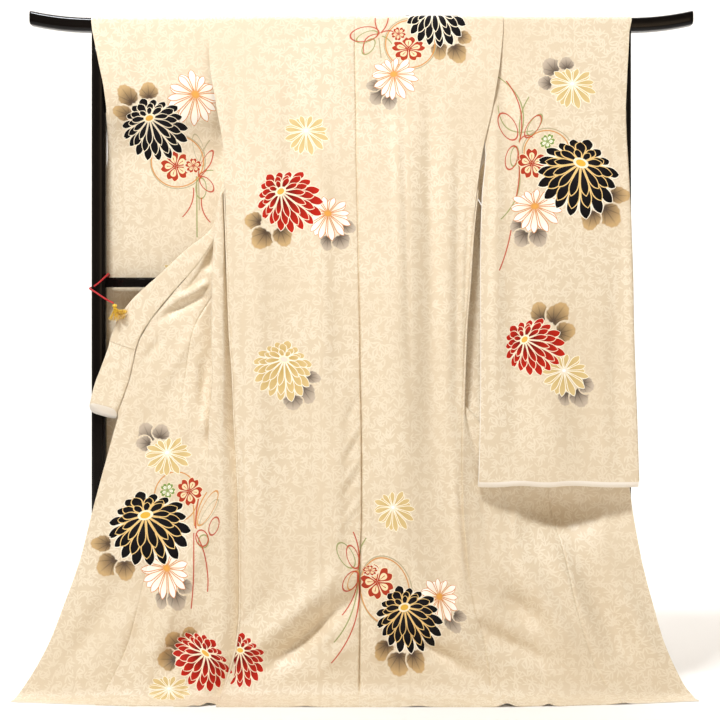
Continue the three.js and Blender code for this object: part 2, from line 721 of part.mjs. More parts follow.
// The middle rail is bevelled on top and runs between the posts.
const RAIL_RING = [
  [-RAIL_DEEP / 2, RAIL_LOW],
  [RAIL_DEEP / 2, RAIL_LOW],
  [RAIL_DEEP / 2, RAIL_TOP - 6],
  [5, RAIL_TOP],
  [-5, RAIL_TOP],
  [-RAIL_DEEP / 2, RAIL_TOP - 6],
];
const railEnd = POST_X - POST_SIDE / 2 - GAP;
add("mid_rail", loft([-railEnd, railEnd].map((x) => RAIL_RING.map(([y, z]) => at(x, y, z)))), lacquer);

// The tie goes round the post above the rail and back to the tassel at the collar's edge.
const TIE_THICK = 4;
const TIE = [
  [-549, -40, 863],
  [-560, -34, 868],
  [-576, -25, 877],
  [-594, -21, 889],
  [-606, -14, 896],
  [-608, 4, 899],
  [-602, 17, 903],
  [-588, 19.5, 911],
  [-575, 19, 920],
  [-568, 14, 927],
  [-567.5, 0, 930],
  [-568, -14, 927],
  [-574, -20, 920],
  [-586, -20.5, 909],
  [-597, -20.5, 901],
];
const tiePath = new THREE.CatmullRomCurve3(TIE.map(([x, y, z]) => at(x, y, z)));
const tieShape = new THREE.Shape();
for (let k = 0; k < 6; k++) {
  const angle = (k * Math.PI) / 3;
  const x = (TIE_THICK / 2) * Math.cos(angle);
  const y = (TIE_THICK / 2) * Math.sin(angle);
  if (k === 0) tieShape.moveTo(x, y);
  else tieShape.lineTo(x, y);
}
const tie = { steps: 42, extrudePath: tiePath, bevelEnabled: false, curveSegments: 1 };
add("tie_cord", new THREE.ExtrudeGeometry(tieShape, tie), redCord);

// Tassel: a bound head from which threads fan out.
const wasm = await Module();
wasm.setup();

function solid(geometry) {
  const g = mergeVertices(geometry, 1e-4);
  return new wasm.Manifold(
    new wasm.Mesh({
      numProp: 3,
      vertProperties: new Float32Array(g.attributes.position.array),
      triVerts: new Uint32Array(g.index.array),
    }),
  );
}

const TASSEL = { x: -547, y: -40, z: 856, head: 6, long: 33, strands: 44, thread: 1.5 };
const TASSEL_RINGS = [
  // height above the head's middle, radius, as shares of the head
  [0.95, 0.3],
  [0.7, 0.75],
  [0.1, 1],
  [-0.5, 0.8],
  [-0.9, 0.72],
];
const headRings = TASSEL_RINGS.map(([up, wide]) => {
  const ring = [];
  for (let k = 0; k < 10; k++) {
    const angle = (k * Math.PI) / 5;
    const r = TASSEL.head * wide;
    ring.push(at(r * Math.cos(angle), r * Math.sin(angle), TASSEL.head * up));
  }
  return ring;
});
const pieces = [solid(loft(headRings))];
for (let k = 0; k < TASSEL.strands; k++) {
  const angle = k * 2.39996;
  const out = Math.sqrt((k + 0.5) / TASSEL.strands);
  const r0 = TASSEL.head * 0.62 * out;
  const r1 = r0 + (5 + 9 * out) * (1 + 0.25 * Math.sin(k * 1.7));
  const low = -TASSEL.long * (0.92 + 0.1 * Math.sin(k * 2.3));
  const rings = [[r0, -TASSEL.head * 0.6], [mix(r0, r1, 0.62), low * 0.5], [r1, low]].map(([r, z], n) => {
    const turned = angle + 0.1 * n;
    const x = r * Math.cos(turned) + (n === 2 ? 5 : 0) + (n === 1 ? 2 : 0);
    const y = r * Math.sin(turned) * 0.5;
    const t = TASSEL.thread * (n === 2 ? 0.8 : 1);
    return [at(x + t / 2, y, z), at(x - t / 4, y + t * 0.43, z), at(x - t / 4, y - t * 0.43, z)];
  });
  pieces.push(solid(loft(rings)));
}
const whole = wasm.Manifold.union(pieces);
const made = whole.getMesh();
const tasselGeometry = new THREE.BufferGeometry();
tasselGeometry.setAttribute("position", new THREE.BufferAttribute(new Float32Array(made.vertProperties), 3));
tasselGeometry.setIndex([...made.triVerts]);
const tassel = add("tassel", tasselGeometry, yellowSilk);
tassel.position.set(TASSEL.x, TASSEL.y, TASSEL.z);

group.position.set(ORIGIN_X, ORIGIN_Y, 0);

export default group;
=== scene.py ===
import math

import bmesh
import bpy
import numpy as np
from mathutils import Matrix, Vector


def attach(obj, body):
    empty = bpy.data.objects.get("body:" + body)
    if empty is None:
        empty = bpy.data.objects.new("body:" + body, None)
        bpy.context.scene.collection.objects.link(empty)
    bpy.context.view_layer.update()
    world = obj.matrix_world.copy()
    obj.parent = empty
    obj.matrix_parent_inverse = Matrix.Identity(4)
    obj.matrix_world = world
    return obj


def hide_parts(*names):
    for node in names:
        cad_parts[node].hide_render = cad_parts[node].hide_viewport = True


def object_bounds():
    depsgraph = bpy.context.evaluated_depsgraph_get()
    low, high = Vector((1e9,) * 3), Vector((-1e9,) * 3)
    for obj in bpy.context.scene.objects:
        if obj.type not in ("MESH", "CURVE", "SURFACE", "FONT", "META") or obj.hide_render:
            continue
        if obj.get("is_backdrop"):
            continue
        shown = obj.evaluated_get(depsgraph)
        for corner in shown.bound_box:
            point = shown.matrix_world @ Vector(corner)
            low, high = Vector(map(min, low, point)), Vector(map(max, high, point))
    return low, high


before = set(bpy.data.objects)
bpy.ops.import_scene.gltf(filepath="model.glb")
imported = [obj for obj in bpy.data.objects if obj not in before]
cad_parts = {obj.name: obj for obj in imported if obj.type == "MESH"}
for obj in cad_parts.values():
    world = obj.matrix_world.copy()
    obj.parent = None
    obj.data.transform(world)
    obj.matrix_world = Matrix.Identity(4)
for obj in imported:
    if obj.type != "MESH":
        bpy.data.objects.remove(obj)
cad_box = [list(corner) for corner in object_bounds()]

# The studio: a white paper sweep that serves as the floor, a small bright lamp high in front, a broad weak
# one lower down, one that whitens the backdrop, and a camera at half the garment's height.
CAMERA_PLACE = (0.0035, -3.472, 0.737)
CAMERA_LENS = 78
SWEEP_DEPTH = 2.6
SWEEP_WIDTH = 14.0
SWEEP_FRONT, SWEEP_BEND, SWEEP_HIGH = -6, 1.2, 4


def linear(hexa, alpha=1.0):
    """The linear colour of a screen colour written as hex: each channel through the sRGB curve."""
    c = np.array([int(hexa[i : i + 2], 16) for i in (1, 3, 5)]) / 255
    return (*np.where(c <= 0.04045, c / 12.92, ((c + 0.055) / 1.055) ** 2.4), alpha)


def node(tree, kind, *values, out=0, **settings):
    """Adds a shader node, or a Math operation where the kind is in capitals, with its settings and its
    inputs in order, and gives back one of its outputs."""
    made = tree.nodes.new("ShaderNodeMath" if kind.isupper() else "ShaderNode" + kind)
    if kind.isupper():
        made.operation = kind
    for name, value in settings.items():
        setattr(made, name, value)
    for socket, value in zip(made.inputs, values):
        if isinstance(value, bpy.types.NodeSocket):
            tree.links.new(value, socket)
        elif value is not None:
            socket.default_value = value
    return made.outputs[out]


def size_of(tree, vector):
    """The length of a vector."""
    return node(tree, "VectorMath", vector, operation="LENGTH", out=1)


def parts(tree, vector):
    """The first two parts of a vector."""
    return node(tree, "SeparateXYZ", vector, out=0), node(tree, "SeparateXYZ", vector, out=1)


def raised(tree, shader, height, strength, distance):
    """Gives a shader a fine relief, distance metres high where the height is one."""
    bump = tree.nodes.new("ShaderNodeBump")
    bump.inputs["Strength"].default_value = strength
    bump.inputs["Distance"].default_value = distance
    tree.links.new(height, bump.inputs["Height"])
    tree.links.new(bump.outputs[0], shader.inputs["Normal"])


def two_toned(tree, shader, share, first, second):
    """Gives a shader a colour a share of the way from one to another, both as hex."""
    tree.links.new(node(tree, "MixRGB", share, linear(first), linear(second)), shader.inputs["Base Color"])


def new_material(name):
    """An empty node material with its Principled shader."""
    made = bpy.data.materials.new(name)
    made.use_nodes = True
    return made, made.node_tree, made.node_tree.nodes["Principled BSDF"]


def grid_mesh(name, points, materials, uv=None, ring=False):
    """A mesh through an array of points, rows by columns by three, in metres, with a face in each cell.
    ring joins the last column to the first."""
    rows, columns = points.shape[:2]
    index = np.arange(rows * columns).reshape(rows, columns)
    if ring:
        index = np.hstack([index, index[:, :1]])
    faces = np.stack([index[:-1, :-1], index[1:, :-1], index[1:, 1:], index[:-1, 1:]], -1).reshape(-1, 4)
    mesh = bpy.data.meshes.new(name)
    mesh.from_pydata(points.reshape(-1, 3), [], faces)
    if uv is not None:
        layer = mesh.uv_layers.new(name="pattern")
        layer.uv.foreach_set("vector", uv.reshape(-1, 2)[faces.reshape(-1)].ravel().astype(np.float32))
    mesh.shade_smooth()
    for material in materials:
        mesh.materials.append(material)
    made = bpy.data.objects.new(name, mesh)
    bpy.context.scene.collection.objects.link(made)
    return made


paper, tree, shader = new_material("white_paper")
shader.inputs["Base Color"].default_value = linear("#F7F5F2")
shader.inputs["Roughness"].default_value = 0.9
along = np.linspace(0, 1, 60)
# flat as far as the sweep, then a quarter circle, then straight up
turn = np.clip((along - 0.5) * 3.2, 0, 1) * math.pi / 2
sweep_y = SWEEP_FRONT + np.clip(along / 0.5, 0, 1) * (SWEEP_DEPTH - SWEEP_FRONT) + SWEEP_BEND * np.sin(turn)
sweep_z = SWEEP_BEND * (1 - np.cos(turn)) + np.clip((along - 0.82) / 0.18, 0, 1) * SWEEP_HIGH
sweep = np.zeros((60, 2, 3))
sweep[..., 0] = [-SWEEP_WIDTH / 2, SWEEP_WIDTH / 2]
sweep[..., 1], sweep[..., 2] = sweep_y[:, None], sweep_z[:, None]
floor = grid_mesh("paper_sweep", sweep[:, ::-1], [paper])
floor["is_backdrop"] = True

camera = bpy.data.objects.new("camera", bpy.data.cameras.new("camera"))
camera.data.lens = CAMERA_LENS
camera.data.sensor_width = 36
camera.location = CAMERA_PLACE
camera.rotation_euler = (math.radians(90), 0, 0)
bpy.context.scene.collection.objects.link(camera)
bpy.context.scene.camera = camera
bpy.context.scene.view_settings.view_transform = "Standard"

for name, place, aim, size, power, tint in [
    ("key", (-1.0, -2.0, 4.2), (0, 0, 0.75), (0.8, 0.6), 192, "#F6FAFF"),
    ("front_fill", (0.5, -5.0, 1.6), (0, 0, 0.7), (3.0, 1.8), 26, "#FFDDB2"),
    ("backdrop", (0, 1.2, 4.2), (0, 3.4, 0.6), (5.0, 1.6), 150, "#FFFFFF"),
]:
    lamp = bpy.data.lights.new(name, "AREA")
    lamp.shape = "RECTANGLE"
    lamp.size, lamp.size_y = size
    lamp.energy = power
    lamp.color = linear(tint)[:3]
    stand = bpy.data.objects.new(name, lamp)
    stand.location = place
    toward = np.array(aim) - np.array(place)
    level = math.hypot(toward[0], toward[1])
    stand.rotation_euler = (math.atan2(level, -toward[2]), 0, math.atan2(-toward[0], toward[1]))
    bpy.context.scene.collection.objects.link(stand)
world = bpy.data.worlds.new("studio")
world.use_nodes = True
world.node_tree.nodes["Background"].inputs[0].default_value = linear("#FFE9CE")
world.node_tree.nodes["Background"].inputs[1].default_value = 0.22
bpy.context.scene.world = world

# The rack's sizes in millimetres, from the floor up, in a frame whose X and Y are zero at the middle of
# the bar. ORIGIN takes a point of it to the row's own frame.
ORIGIN = np.array([6.5, 28.0, 0.0])
BAR_TOP, BAR_HIGH, BAR_DEEP, BAR_ROUND = 1503, 31, 36, 8
BAR_REACH, BAR_RISE, BAR_CURVE_FROM = 742, 16, 600
POST_X, POST_SIDE, POST_CHAMFER = 588, 32, 8
RAIL_LOW, RAIL_TOP, RAIL_DEEP = 900, 922, 22
FOOT_FRONT, FOOT_REAR, FOOT_HIGH, FOOT_TOE, FOOT_WIDE = 92, 134, 45, 18, 40
GAP = 0.3


def metres(points):
    """Points of the rack's frame in millimetres, as metres in the row's frame."""
    return (np.asarray(points, float) + ORIGIN) / 1000


def smooth(a, b, x):
    """A ramp from 0 at a to 1 at b with level ends: three times the square less twice the cube."""
    t = np.clip((np.asarray(x, float) - a) / (b - a), 0, 1)
    return t * t * (3 - 2 * t)


def rounded(corners, radius, steps):
    """A closed outline with its corners rounded: at each corner, points of the quadratic curve between
    the two points that lie a radius away along its sides."""
    p = np.asarray(corners, float)
    before, after = np.roll(p, 1, 0) - p, np.roll(p, -1, 0) - p
    reach = np.minimum(radius, 0.45 * np.linalg.norm(before, axis=1))[:, None, None]
    reach_after = np.minimum(radius, 0.45 * np.linalg.norm(after, axis=1))[:, None, None]
    start = p[:, None] + reach * (before / np.linalg.norm(before, axis=1, keepdims=True))[:, None]
    end = p[:, None] + reach_after * (after / np.linalg.norm(after, axis=1, keepdims=True))[:, None]
    t = np.linspace(0, 1, steps)[None, :, None]
    return (start * (1 - t) ** 2 + 2 * p[:, None] * t * (1 - t) + end * t**2).reshape(-1, 2)


def carried(name, sections, material, end=None):
    """A closed solid through equal rings of points: side faces, and a cap at each end, of its own material
    where one is given."""
    rings = np.asarray(sections)
    count = rings.shape[1]
    ends = [rings[0].mean(0), rings[-1].mean(0)]
    made = grid_mesh(name, metres(rings), [material], ring=True)
    mesh = made.data
    mesh.clear_geometry()
    points = np.vstack([rings.reshape(-1, 3), ends])
    last = (len(rings) - 1) * count
    a = np.arange(count)
    b = (a + 1) % count
    index = np.arange(len(rings) - 1)[:, None] * count
    sides = np.stack([index + a, index + b, index + b + count, index + a + count], -1).reshape(-1, 4)
    low = np.stack([b, a, np.full(count, len(points) - 2)], -1)
    high = np.stack([last + a, last + b, np.full(count, len(points) - 1)], -1)
    mesh.from_pydata(metres(points), [], [*sides.tolist(), *low.tolist(), *high.tolist()])
    mesh.shade_smooth()
    if end is not None:
        mesh.materials.append(end)
        which = np.repeat([0, 1], [len(sides), 2 * count]).astype(np.int32)
        mesh.polygons.foreach_set("material_index", which)
    outward(made)
    return made


def outward(piece):
    """Joins doubled vertices and turns the faces outwards."""
    made = bmesh.new()
    made.from_mesh(piece.data)
    bmesh.ops.remove_doubles(made, verts=made.verts, dist=1e-6)
    bmesh.ops.recalc_face_normals(made, faces=made.faces)
    made.to_mesh(piece.data)
    made.free()


def placed(made, node_name):
    """Hides the solid that a piece stands for and puts the piece on the root body."""
    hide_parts(node_name)
    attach(made, "root")


# Black lacquer on planed softwood, rubbed down and polished: a deep, nearly neutral black under a clear
# glossy film, with a faint ripple and a little dust where hands don't rub it.
lacquer, tree, shader = new_material("black_lacquer")
where = node(tree, "TexCoord", out=3)
ripple = node(tree, "TexNoise", where, None, 38.0, 3.0)
dust = node(tree, "TexNoise", where, None, 6.0, 5.0)
shade = node(tree, "MapRange", dust, 0.35, 0.75, 0.0, 1.0)
two_toned(tree, shader, shade, "#080606", "#120E0C")
tree.links.new(node(tree, "MapRange", dust, 0.3, 0.8, 0.13, 0.24), shader.inputs["Roughness"])
raised(tree, shader, ripple, 0.08, 0.001)
shader.inputs["Coat Weight"].default_value = 0.1
shader.inputs["Specular IOR Level"].default_value = 0.16
shader.inputs["Coat Roughness"].default_value = 0.06

# Two posts, square with broad chamfers, planed from one length each and let into the feet.
half = POST_SIDE / 2
flat = half - POST_CHAMFER
post_outline = [(-half, -flat), (-flat, -half), (flat, -half), (half, -flat), (half, flat), (flat, half),
                (-flat, half), (-half, flat)]
for side, name in [(-1, "left"), (1, "right")]:
    ring = rounded(post_outline, 1.6, 4)
    heights = np.array([FOOT_HIGH + GAP, FOOT_HIGH + 2, 300, 700, 1100, 1400, BAR_TOP - BAR_HIGH - GAP])
    post = np.zeros((len(heights), len(ring), 3))
    post[..., 0] = side * POST_X + ring[:, 0]
    post[..., 1] = ring[:, 1]
    post[..., 2] = heights[:, None]
    made = carried("post_" + name + "_lacquered", post, lacquer)
    placed(made, "post_" + name)

# Two feet, each a plank with its upper edges eased and its ends cut down to a toe.
for side, name in [(-1, "left"), (1, "right")]:
    steps = np.array([-FOOT_FRONT, -FOOT_FRONT + 1.5, -FOOT_FRONT + 22, -FOOT_FRONT + 34, 0, FOOT_REAR - 34,
                      FOOT_REAR - 22, FOOT_REAR - 1.5, FOOT_REAR])
    corners = [-FOOT_FRONT, -FOOT_FRONT + 22, -FOOT_FRONT + 34, FOOT_REAR - 34, FOOT_REAR - 22, FOOT_REAR]
    level = [FOOT_TOE, FOOT_HIGH - 5, FOOT_HIGH, FOOT_HIGH, FOOT_HIGH - 5, FOOT_TOE]
    highs = np.interp(steps, corners, level)
    foot = []
    for y, high in zip(steps, highs):
        w = FOOT_WIDE / 2 - (1.2 if y in (steps[0], steps[-1]) else 0)
        ring = rounded([(-w, 0), (w, 0), (w, high), (-w, high)], 3, 5)
        foot.append(np.column_stack([side * POST_X + ring[:, 0], np.full(len(ring), y), ring[:, 1]]))
    made = carried("foot_" + name + "_lacquered", foot, lacquer)
    placed(made, "foot_" + name)

# The middle rail runs between the posts, with its top edges planed to a bevel.
rail_outline = [(-RAIL_DEEP / 2, RAIL_LOW), (RAIL_DEEP / 2, RAIL_LOW), (RAIL_DEEP / 2, RAIL_TOP - 6),
                (5, RAIL_TOP), (-5, RAIL_TOP), (-RAIL_DEEP / 2, RAIL_TOP - 6)]
ring = rounded(rail_outline, 1.2, 4)
rail_end = POST_X - half - GAP
rail_x = np.linspace(-rail_end, rail_end, 9)
rail = np.array([np.column_stack([np.full(len(ring), x), ring]) for x in rail_x])
made = carried("mid_rail_lacquered", rail, lacquer)
placed(made, "mid_rail")

# The top bar is one length with round edges, whose ends are steamed to curve up and are eased.
bar_mid = BAR_TOP - BAR_HIGH / 2
d, h = BAR_DEEP / 2, BAR_HIGH / 2
corner = rounded([(-d, -h), (d, -h), (d, h), (-d, h)], BAR_ROUND * 1.3, 9)
share = np.concatenate([np.linspace(0, 0.94, 14), [0.97, 0.985, 0.995, 1.0]])
ease = np.interp(share, [0.97, 0.985, 0.995, 1.0], [1, 0.985, 0.93, 0.8])
outer = BAR_CURVE_FROM + (BAR_REACH - BAR_CURVE_FROM) * share
reach = np.concatenate([-outer[::-1], np.linspace(-500, 500, 9), outer])
rise = np.concatenate([(BAR_RISE * share**2)[::-1], np.zeros(9), BAR_RISE * share**2])
size = np.concatenate([ease[::-1], np.ones(9), ease])
bar = np.zeros((len(reach), len(corner), 3))
bar[..., 0] = reach[:, None]
bar[..., 1] = corner[:, 0] * size[:, None]
bar[..., 2] = bar_mid + corner[:, 1] * size[:, None] + rise[:, None]
made = carried("top_bar_lacquered", bar, lacquer)
placed(made, "top_bar")

# The kimono's body hangs from the bar by its back panels and runs down to a hem that lies forward on the
# floor. Rows go from the bar to the hem: height, depth of the back panels, and the x of their seams.
BODY_LIFT, SLEEVE_LIFT = 3.7, 1.3
CLOTH_TOP = 1470
SEAM_TOP = 1101  # the side seams begin here, below the sleeves' openings
OKUMI_ROW = 3  # the first row that the okumi reaches
BACK = np.array([
    # z, y, left side, centre seam, right side
    (1470, -22.4, -341, -14, 316), (1400, -26, -338, -14, 309), (1300, -30, -322, -12, 292),
    (1200, -34, -306, -11, 269), (1100, -38, -302, -9, 255), (1000, -42, -298, -7, 245),
    (900, -46.5, -294, -5, 238), (800, -50, -290, -3, 230), (700, -53, -283, -2, 226),
    (600, -57, -279, 0, 223), (500, -61, -272, 1, 222), (400, -65, -268, 1, 225), (300, -69, -266, -2, 233),
    (200, -75, -265, -3, 247), (120, -82, -271, -3, 269), (60, -90, -285, -4, 279),
    (25, -101, -296, -4, 283), (8, -117, -302, -4, 293), (2, -150, -305, -4, 300),
    (1.3, -190, -306, -4, 306)], float)


def cubic(a, b, slope_a, slope_b, t):
    """The cubic from a to b, with a given slope at each, at shares t of the way."""
    ends = a * (2 * t**3 - 3 * t**2 + 1) + b * (3 * t**2 - 2 * t**3)
    return ends + slope_a * (t**3 - 2 * t**2 + t) + slope_b * (t**3 - t**2)


def between(rows, places):
    """Rows of numbers at fractional places: a cubic whose slope at each row is the harmonic mean of the
    steps on its two sides, or zero where they turn, so that nothing overshoots."""
    rows, places = np.asarray(rows, float), np.asarray(places, float)
    step = np.diff(rows, axis=0)
    before, after = step[:-1], step[1:]
    same = before * after > 0
    inner = np.where(same, 2 * before * after / np.where(same, before + after, 1), 0)
    slope = np.concatenate([step[:1], inner, step[-1:]])
    k = np.clip(np.floor(places).astype(int), 0, len(rows) - 2)
    t = (places - k).reshape((-1,) + (1,) * (rows.ndim - 1))
    return cubic(rows[k], rows[k + 1], slope[k], slope[k + 1], t)


def troughs(lines, x, z):
    """How far soft folds push the cloth away: each is a bell curve across a straight line, exp of minus 1.6
    times the square of the distance over its half width, that fades toward both ends and near the floor."""
    depth = np.zeros(np.broadcast(x, z).shape)
    for x0, z0, x1, z1, half_wide, deep in lines:
        dx, dz = x1 - x0, z1 - z0
        t = np.clip(((x - x0) * dx + (z - z0) * dz) / (dx * dx + dz * dz), 0, 1)
        off = np.hypot(x - x0 - t * dx, z - z0 - t * dz) / half_wide
        depth += deep * np.sin(np.pi * (0.12 + 0.76 * t)) * np.exp(-1.6 * off * off)
    return depth * smooth(20, 120, z)


def unevenness(x, z):
    """The slight waviness of silk that has been folded away: a sum of long sine waves across each other."""
    wave = np.sin(x / 31 + 1.7 * np.sin(z / 190)) * np.sin(z / 147 + x / 260)
    fine = np.sin(x / 13.7 + z / 61) * np.sin(z / 37 - x / 83)
    return (0.55 * wave + 0.12 * fine) * smooth(4, 60, z)


# Where the hem ripples: x, half width and height.
HEM_RIPPLES = [
    (-327, 13, 7), (-356, 9, 3), (309, 15, 8), (398, 11, 5), (-120, 20, 2), (120, 24, 2.5), (560, 20, 3)]
HEM_CLEAR = 1.3


def on_floor(x, z):
    """Heights near the hem, which lies a thread's thickness above the floor and lifts a few millimetres in
    narrow ripples where the two fronts and the back pull against each other."""
    lift = sum(high * np.exp(-(((x - middle) / wide) ** 2)) for middle, wide, high in HEM_RIPPLES)
    return np.maximum(z, HEM_CLEAR) + lift * smooth(7, HEM_CLEAR, z)


# The largest folds, common to the body's pieces: from x, z to x, z, half width and depth.
FOLDS = [
    (70, 1190, 92, 230, 74, -27), (40, 1440, 60, 900, 24, 3.5), (150, 1330, 150, 560, 26, 4.5),
    (196, 1180, 190, 420, 26, -6), (-92, 1200, -70, 300, 30, -8), (-150, 1330, -170, 260, 34, 4),
    (-232, 1100, -222, 240, 26, -7), (-6, 226, -222, 38, 27, 32), (-40, 700, -60, 260, 26, -8),
    (96, 134, 262, 28, 24, 28), (306, 224, 396, 150, 38, 24), (268, 142, 420, 62, 32, 22),
    (-420, 420, -500, 110, 42, 16), (-330, 400, -470, 60, 32, -14), (470, 300, 590, 70, 42, 18),
    (360, 280, 470, 100, 34, -12), (60, 300, 30, 60, 36, -12), (345, 420, 540, 404, 92, 62),
    (-520, 260, -640, 60, 36, 14), (-460, 250, -570, 40, 26, -8), (206, 560, 222, 200, 20, -7),
    (-350, 150, -440, 60, 30, 18), (560, 240, 660, 60, 30, -9), (-40, 274, -262, 86, 30, -16),
    (-30, 110, -120, 24, 20, -9), (118, 270, 262, 64, 34, -16), (30, 210, 74, 60, 26, 12),
    (410, 336, 520, 130, 36, -13), (-20, 250, -96, 90, 24, -9)]
# Smaller creases and puckers beside the seams.
CREASES = [
    (-3, 596, -38, 540, 7, -3.2), (-4, 566, -40, 512, 6, 3.0), (-2, 520, -44, 462, 7, -3.4),
    (-3, 490, -42, 436, 6, 3.2), (-3, 660, -40, 590, 9, 2.6), (-3, 430, -48, 366, 8, -3.0),
    (4, 570, 28, 470, 7, 3.2), (3, 700, 24, 600, 8, -3.0), (3, 450, 30, 360, 7, -3.4),
    (60, 1380, 74, 900, 14, 2.6), (92, 1300, 104, 700, 12, 3.4), (150, 1330, 158, 800, 18, 3.0),
    (214, 1180, 208, 640, 16, 4.4), (236, 1060, 226, 700, 8, 3.4), (-150, 1440, -170, 980, 26, 2.6),
    (-300, 1400, -270, 1180, 16, 3.6), (-262, 560, -250, 330, 9, 3.4), (214, 470, 236, 250, 8, 4.0),
    (-60, 120, -190, 40, 16, 4.4), (-132, 778, -6, 808, 4, -1.4), (130, 300, 206, 190, 18, 4.4),
    (-200, 230, -262, 150, 20, 4.2), (-120, 1250, -110, 900, 16, 2.2), (30, 900, 44, 560, 12, 2.4),
    (-60, 420, -90, 210, 14, 3.0)]

ROWS = np.concatenate([np.arange(0, 15, 1 / 16), np.arange(15, 19 + 1e-9, 1 / 12)])
BODY = between(BACK, ROWS)
# the length of cloth along the body, so that the weave and the flowers keep their size down to the hem
run = np.concatenate([[0], np.cumsum(np.hypot(np.diff(BODY[:, 0]), np.diff(BODY[:, 1])))])
DOWN = (CLOTH_TOP - run) / 1000


def over_bar(lift, steps):
    """The line over the bar's top at a distance from it, from behind to the front: two quarter circles
    joined by a straight line."""
    turn = np.linspace(0, np.pi / 2, steps)
    r = BAR_ROUND + lift
    cy, cz = BAR_DEEP / 2 - BAR_ROUND, BAR_TOP - BAR_ROUND
    rear = np.column_stack([cy + r * np.cos(turn), cz + r * np.sin(turn)])
    front = np.column_stack([-cy - r * np.sin(turn), cz + r * np.cos(turn)])
    return np.vstack([rear, front])


def crowded(count):
    """Shares from 0 to 1 that lie closer together at both ends, by taking a sine wave from an even run."""
    share = np.linspace(0, 1, count)
    return share - 0.11 * np.sin(2 * np.pi * share)


def seam_dip(distance):
    """Cloth drawn in along a seam: a bell curve 3.6 mm deep and about 2 mm to each side, in a shallower one
    0.9 mm deep and 9 mm to each side."""
    return 3.6 * np.exp(-((distance / 2.0) ** 2)) + 0.9 * np.exp(-((distance / 9) ** 2))


def cloth(name, points, pattern, materials, thick=1.8, close=None, lined=None):
    """A thin shell through a grid of points in millimetres, its outer face of the first material, its
    inner face of the second and its edge of the third. close adds faces by their corner points, and lined
    marks the cells of the grid where the lining shows outside."""
    made = grid_mesh(name, metres(points), materials, pattern)
    if lined is not None:
        made.data.polygons.foreach_set("material_index", lined.astype(np.int32).ravel())
    if close is not None:
        close(made)
    mesh = made.data
    sharp = mesh.attributes.new("sharp_edge", "BOOLEAN", "EDGE")
    counts = np.zeros(len(mesh.edges), int)
    used = np.zeros(len(mesh.loops), np.int32)
    mesh.loops.foreach_get("edge_index", used)
    np.add.at(counts, used, 1)
    sharp.data.foreach_set("value", counts == 1)
    shell = made.modifiers.new("thickness", "SOLIDIFY")
    shell.thickness = thick / 1000
    shell.offset = 0
    shell.material_offset = 1
    shell.material_offset_rim = 2
    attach(made, "root")
    return made


# Figured silk: a cream satin damask woven with sprays of bamboo leaves, then painted by hand in the yuzen
# way, where each patch of dye lies between fine lines of white, gold or orange. The lists give, in
# millimetres on the cloth, which piece a motif belongs to (0 left sleeve, 1 body, 2 right sleeve), where
# its middle is, its half width and half height, the turn of its own upward side, and its colouring.
MUMS = [
    (1, 162, 1504, 69, 69, 0, 1), (0, -466, 1255, 73, 70, 18, 1), (1, -162, 1088, 70, 72, 37, 0),
    (1, -177, 713, 67, 64, -14, 3), (2, 476, 1145, 94, 84, -21, 2), (2, 380, 765, 65, 65, 46, 0),
    (1, -469, 362, 92, 82, 13, 2), (1, -268, 78, 55, 57, -8, 0), (1, -348, 78, 71, 55, -43, 0),
    (1, 102, 165, 72, 76, 15, 2),
]
DAISIES = [
    (0, -377, 1326, 59, 58, -43, 0), (1, -123, 1239, 51, 46, 0, 1), (1, -75, 1053, 52, 50, -4, 0),
    (1, 74, 1365, 52, 49, 10, 0), (2, 470, 1346, 53, 47, 0, 1), (2, 387, 1071, 57, 51, 12, 0),
    (2, 449, 706, 53, 49, 8, 1), (1, -428, 524, 53, 43, 15, 1), (1, -430, 269, 59, 54, -20, 0),
    (1, -418, 12, 48, 37, 0, 1), (1, 72, 406, 44, 46, 20, 1), (1, 169, 209, 44, 51, -10, 0),
    (0, -418, 934, 31, 29, 10, 1),
]
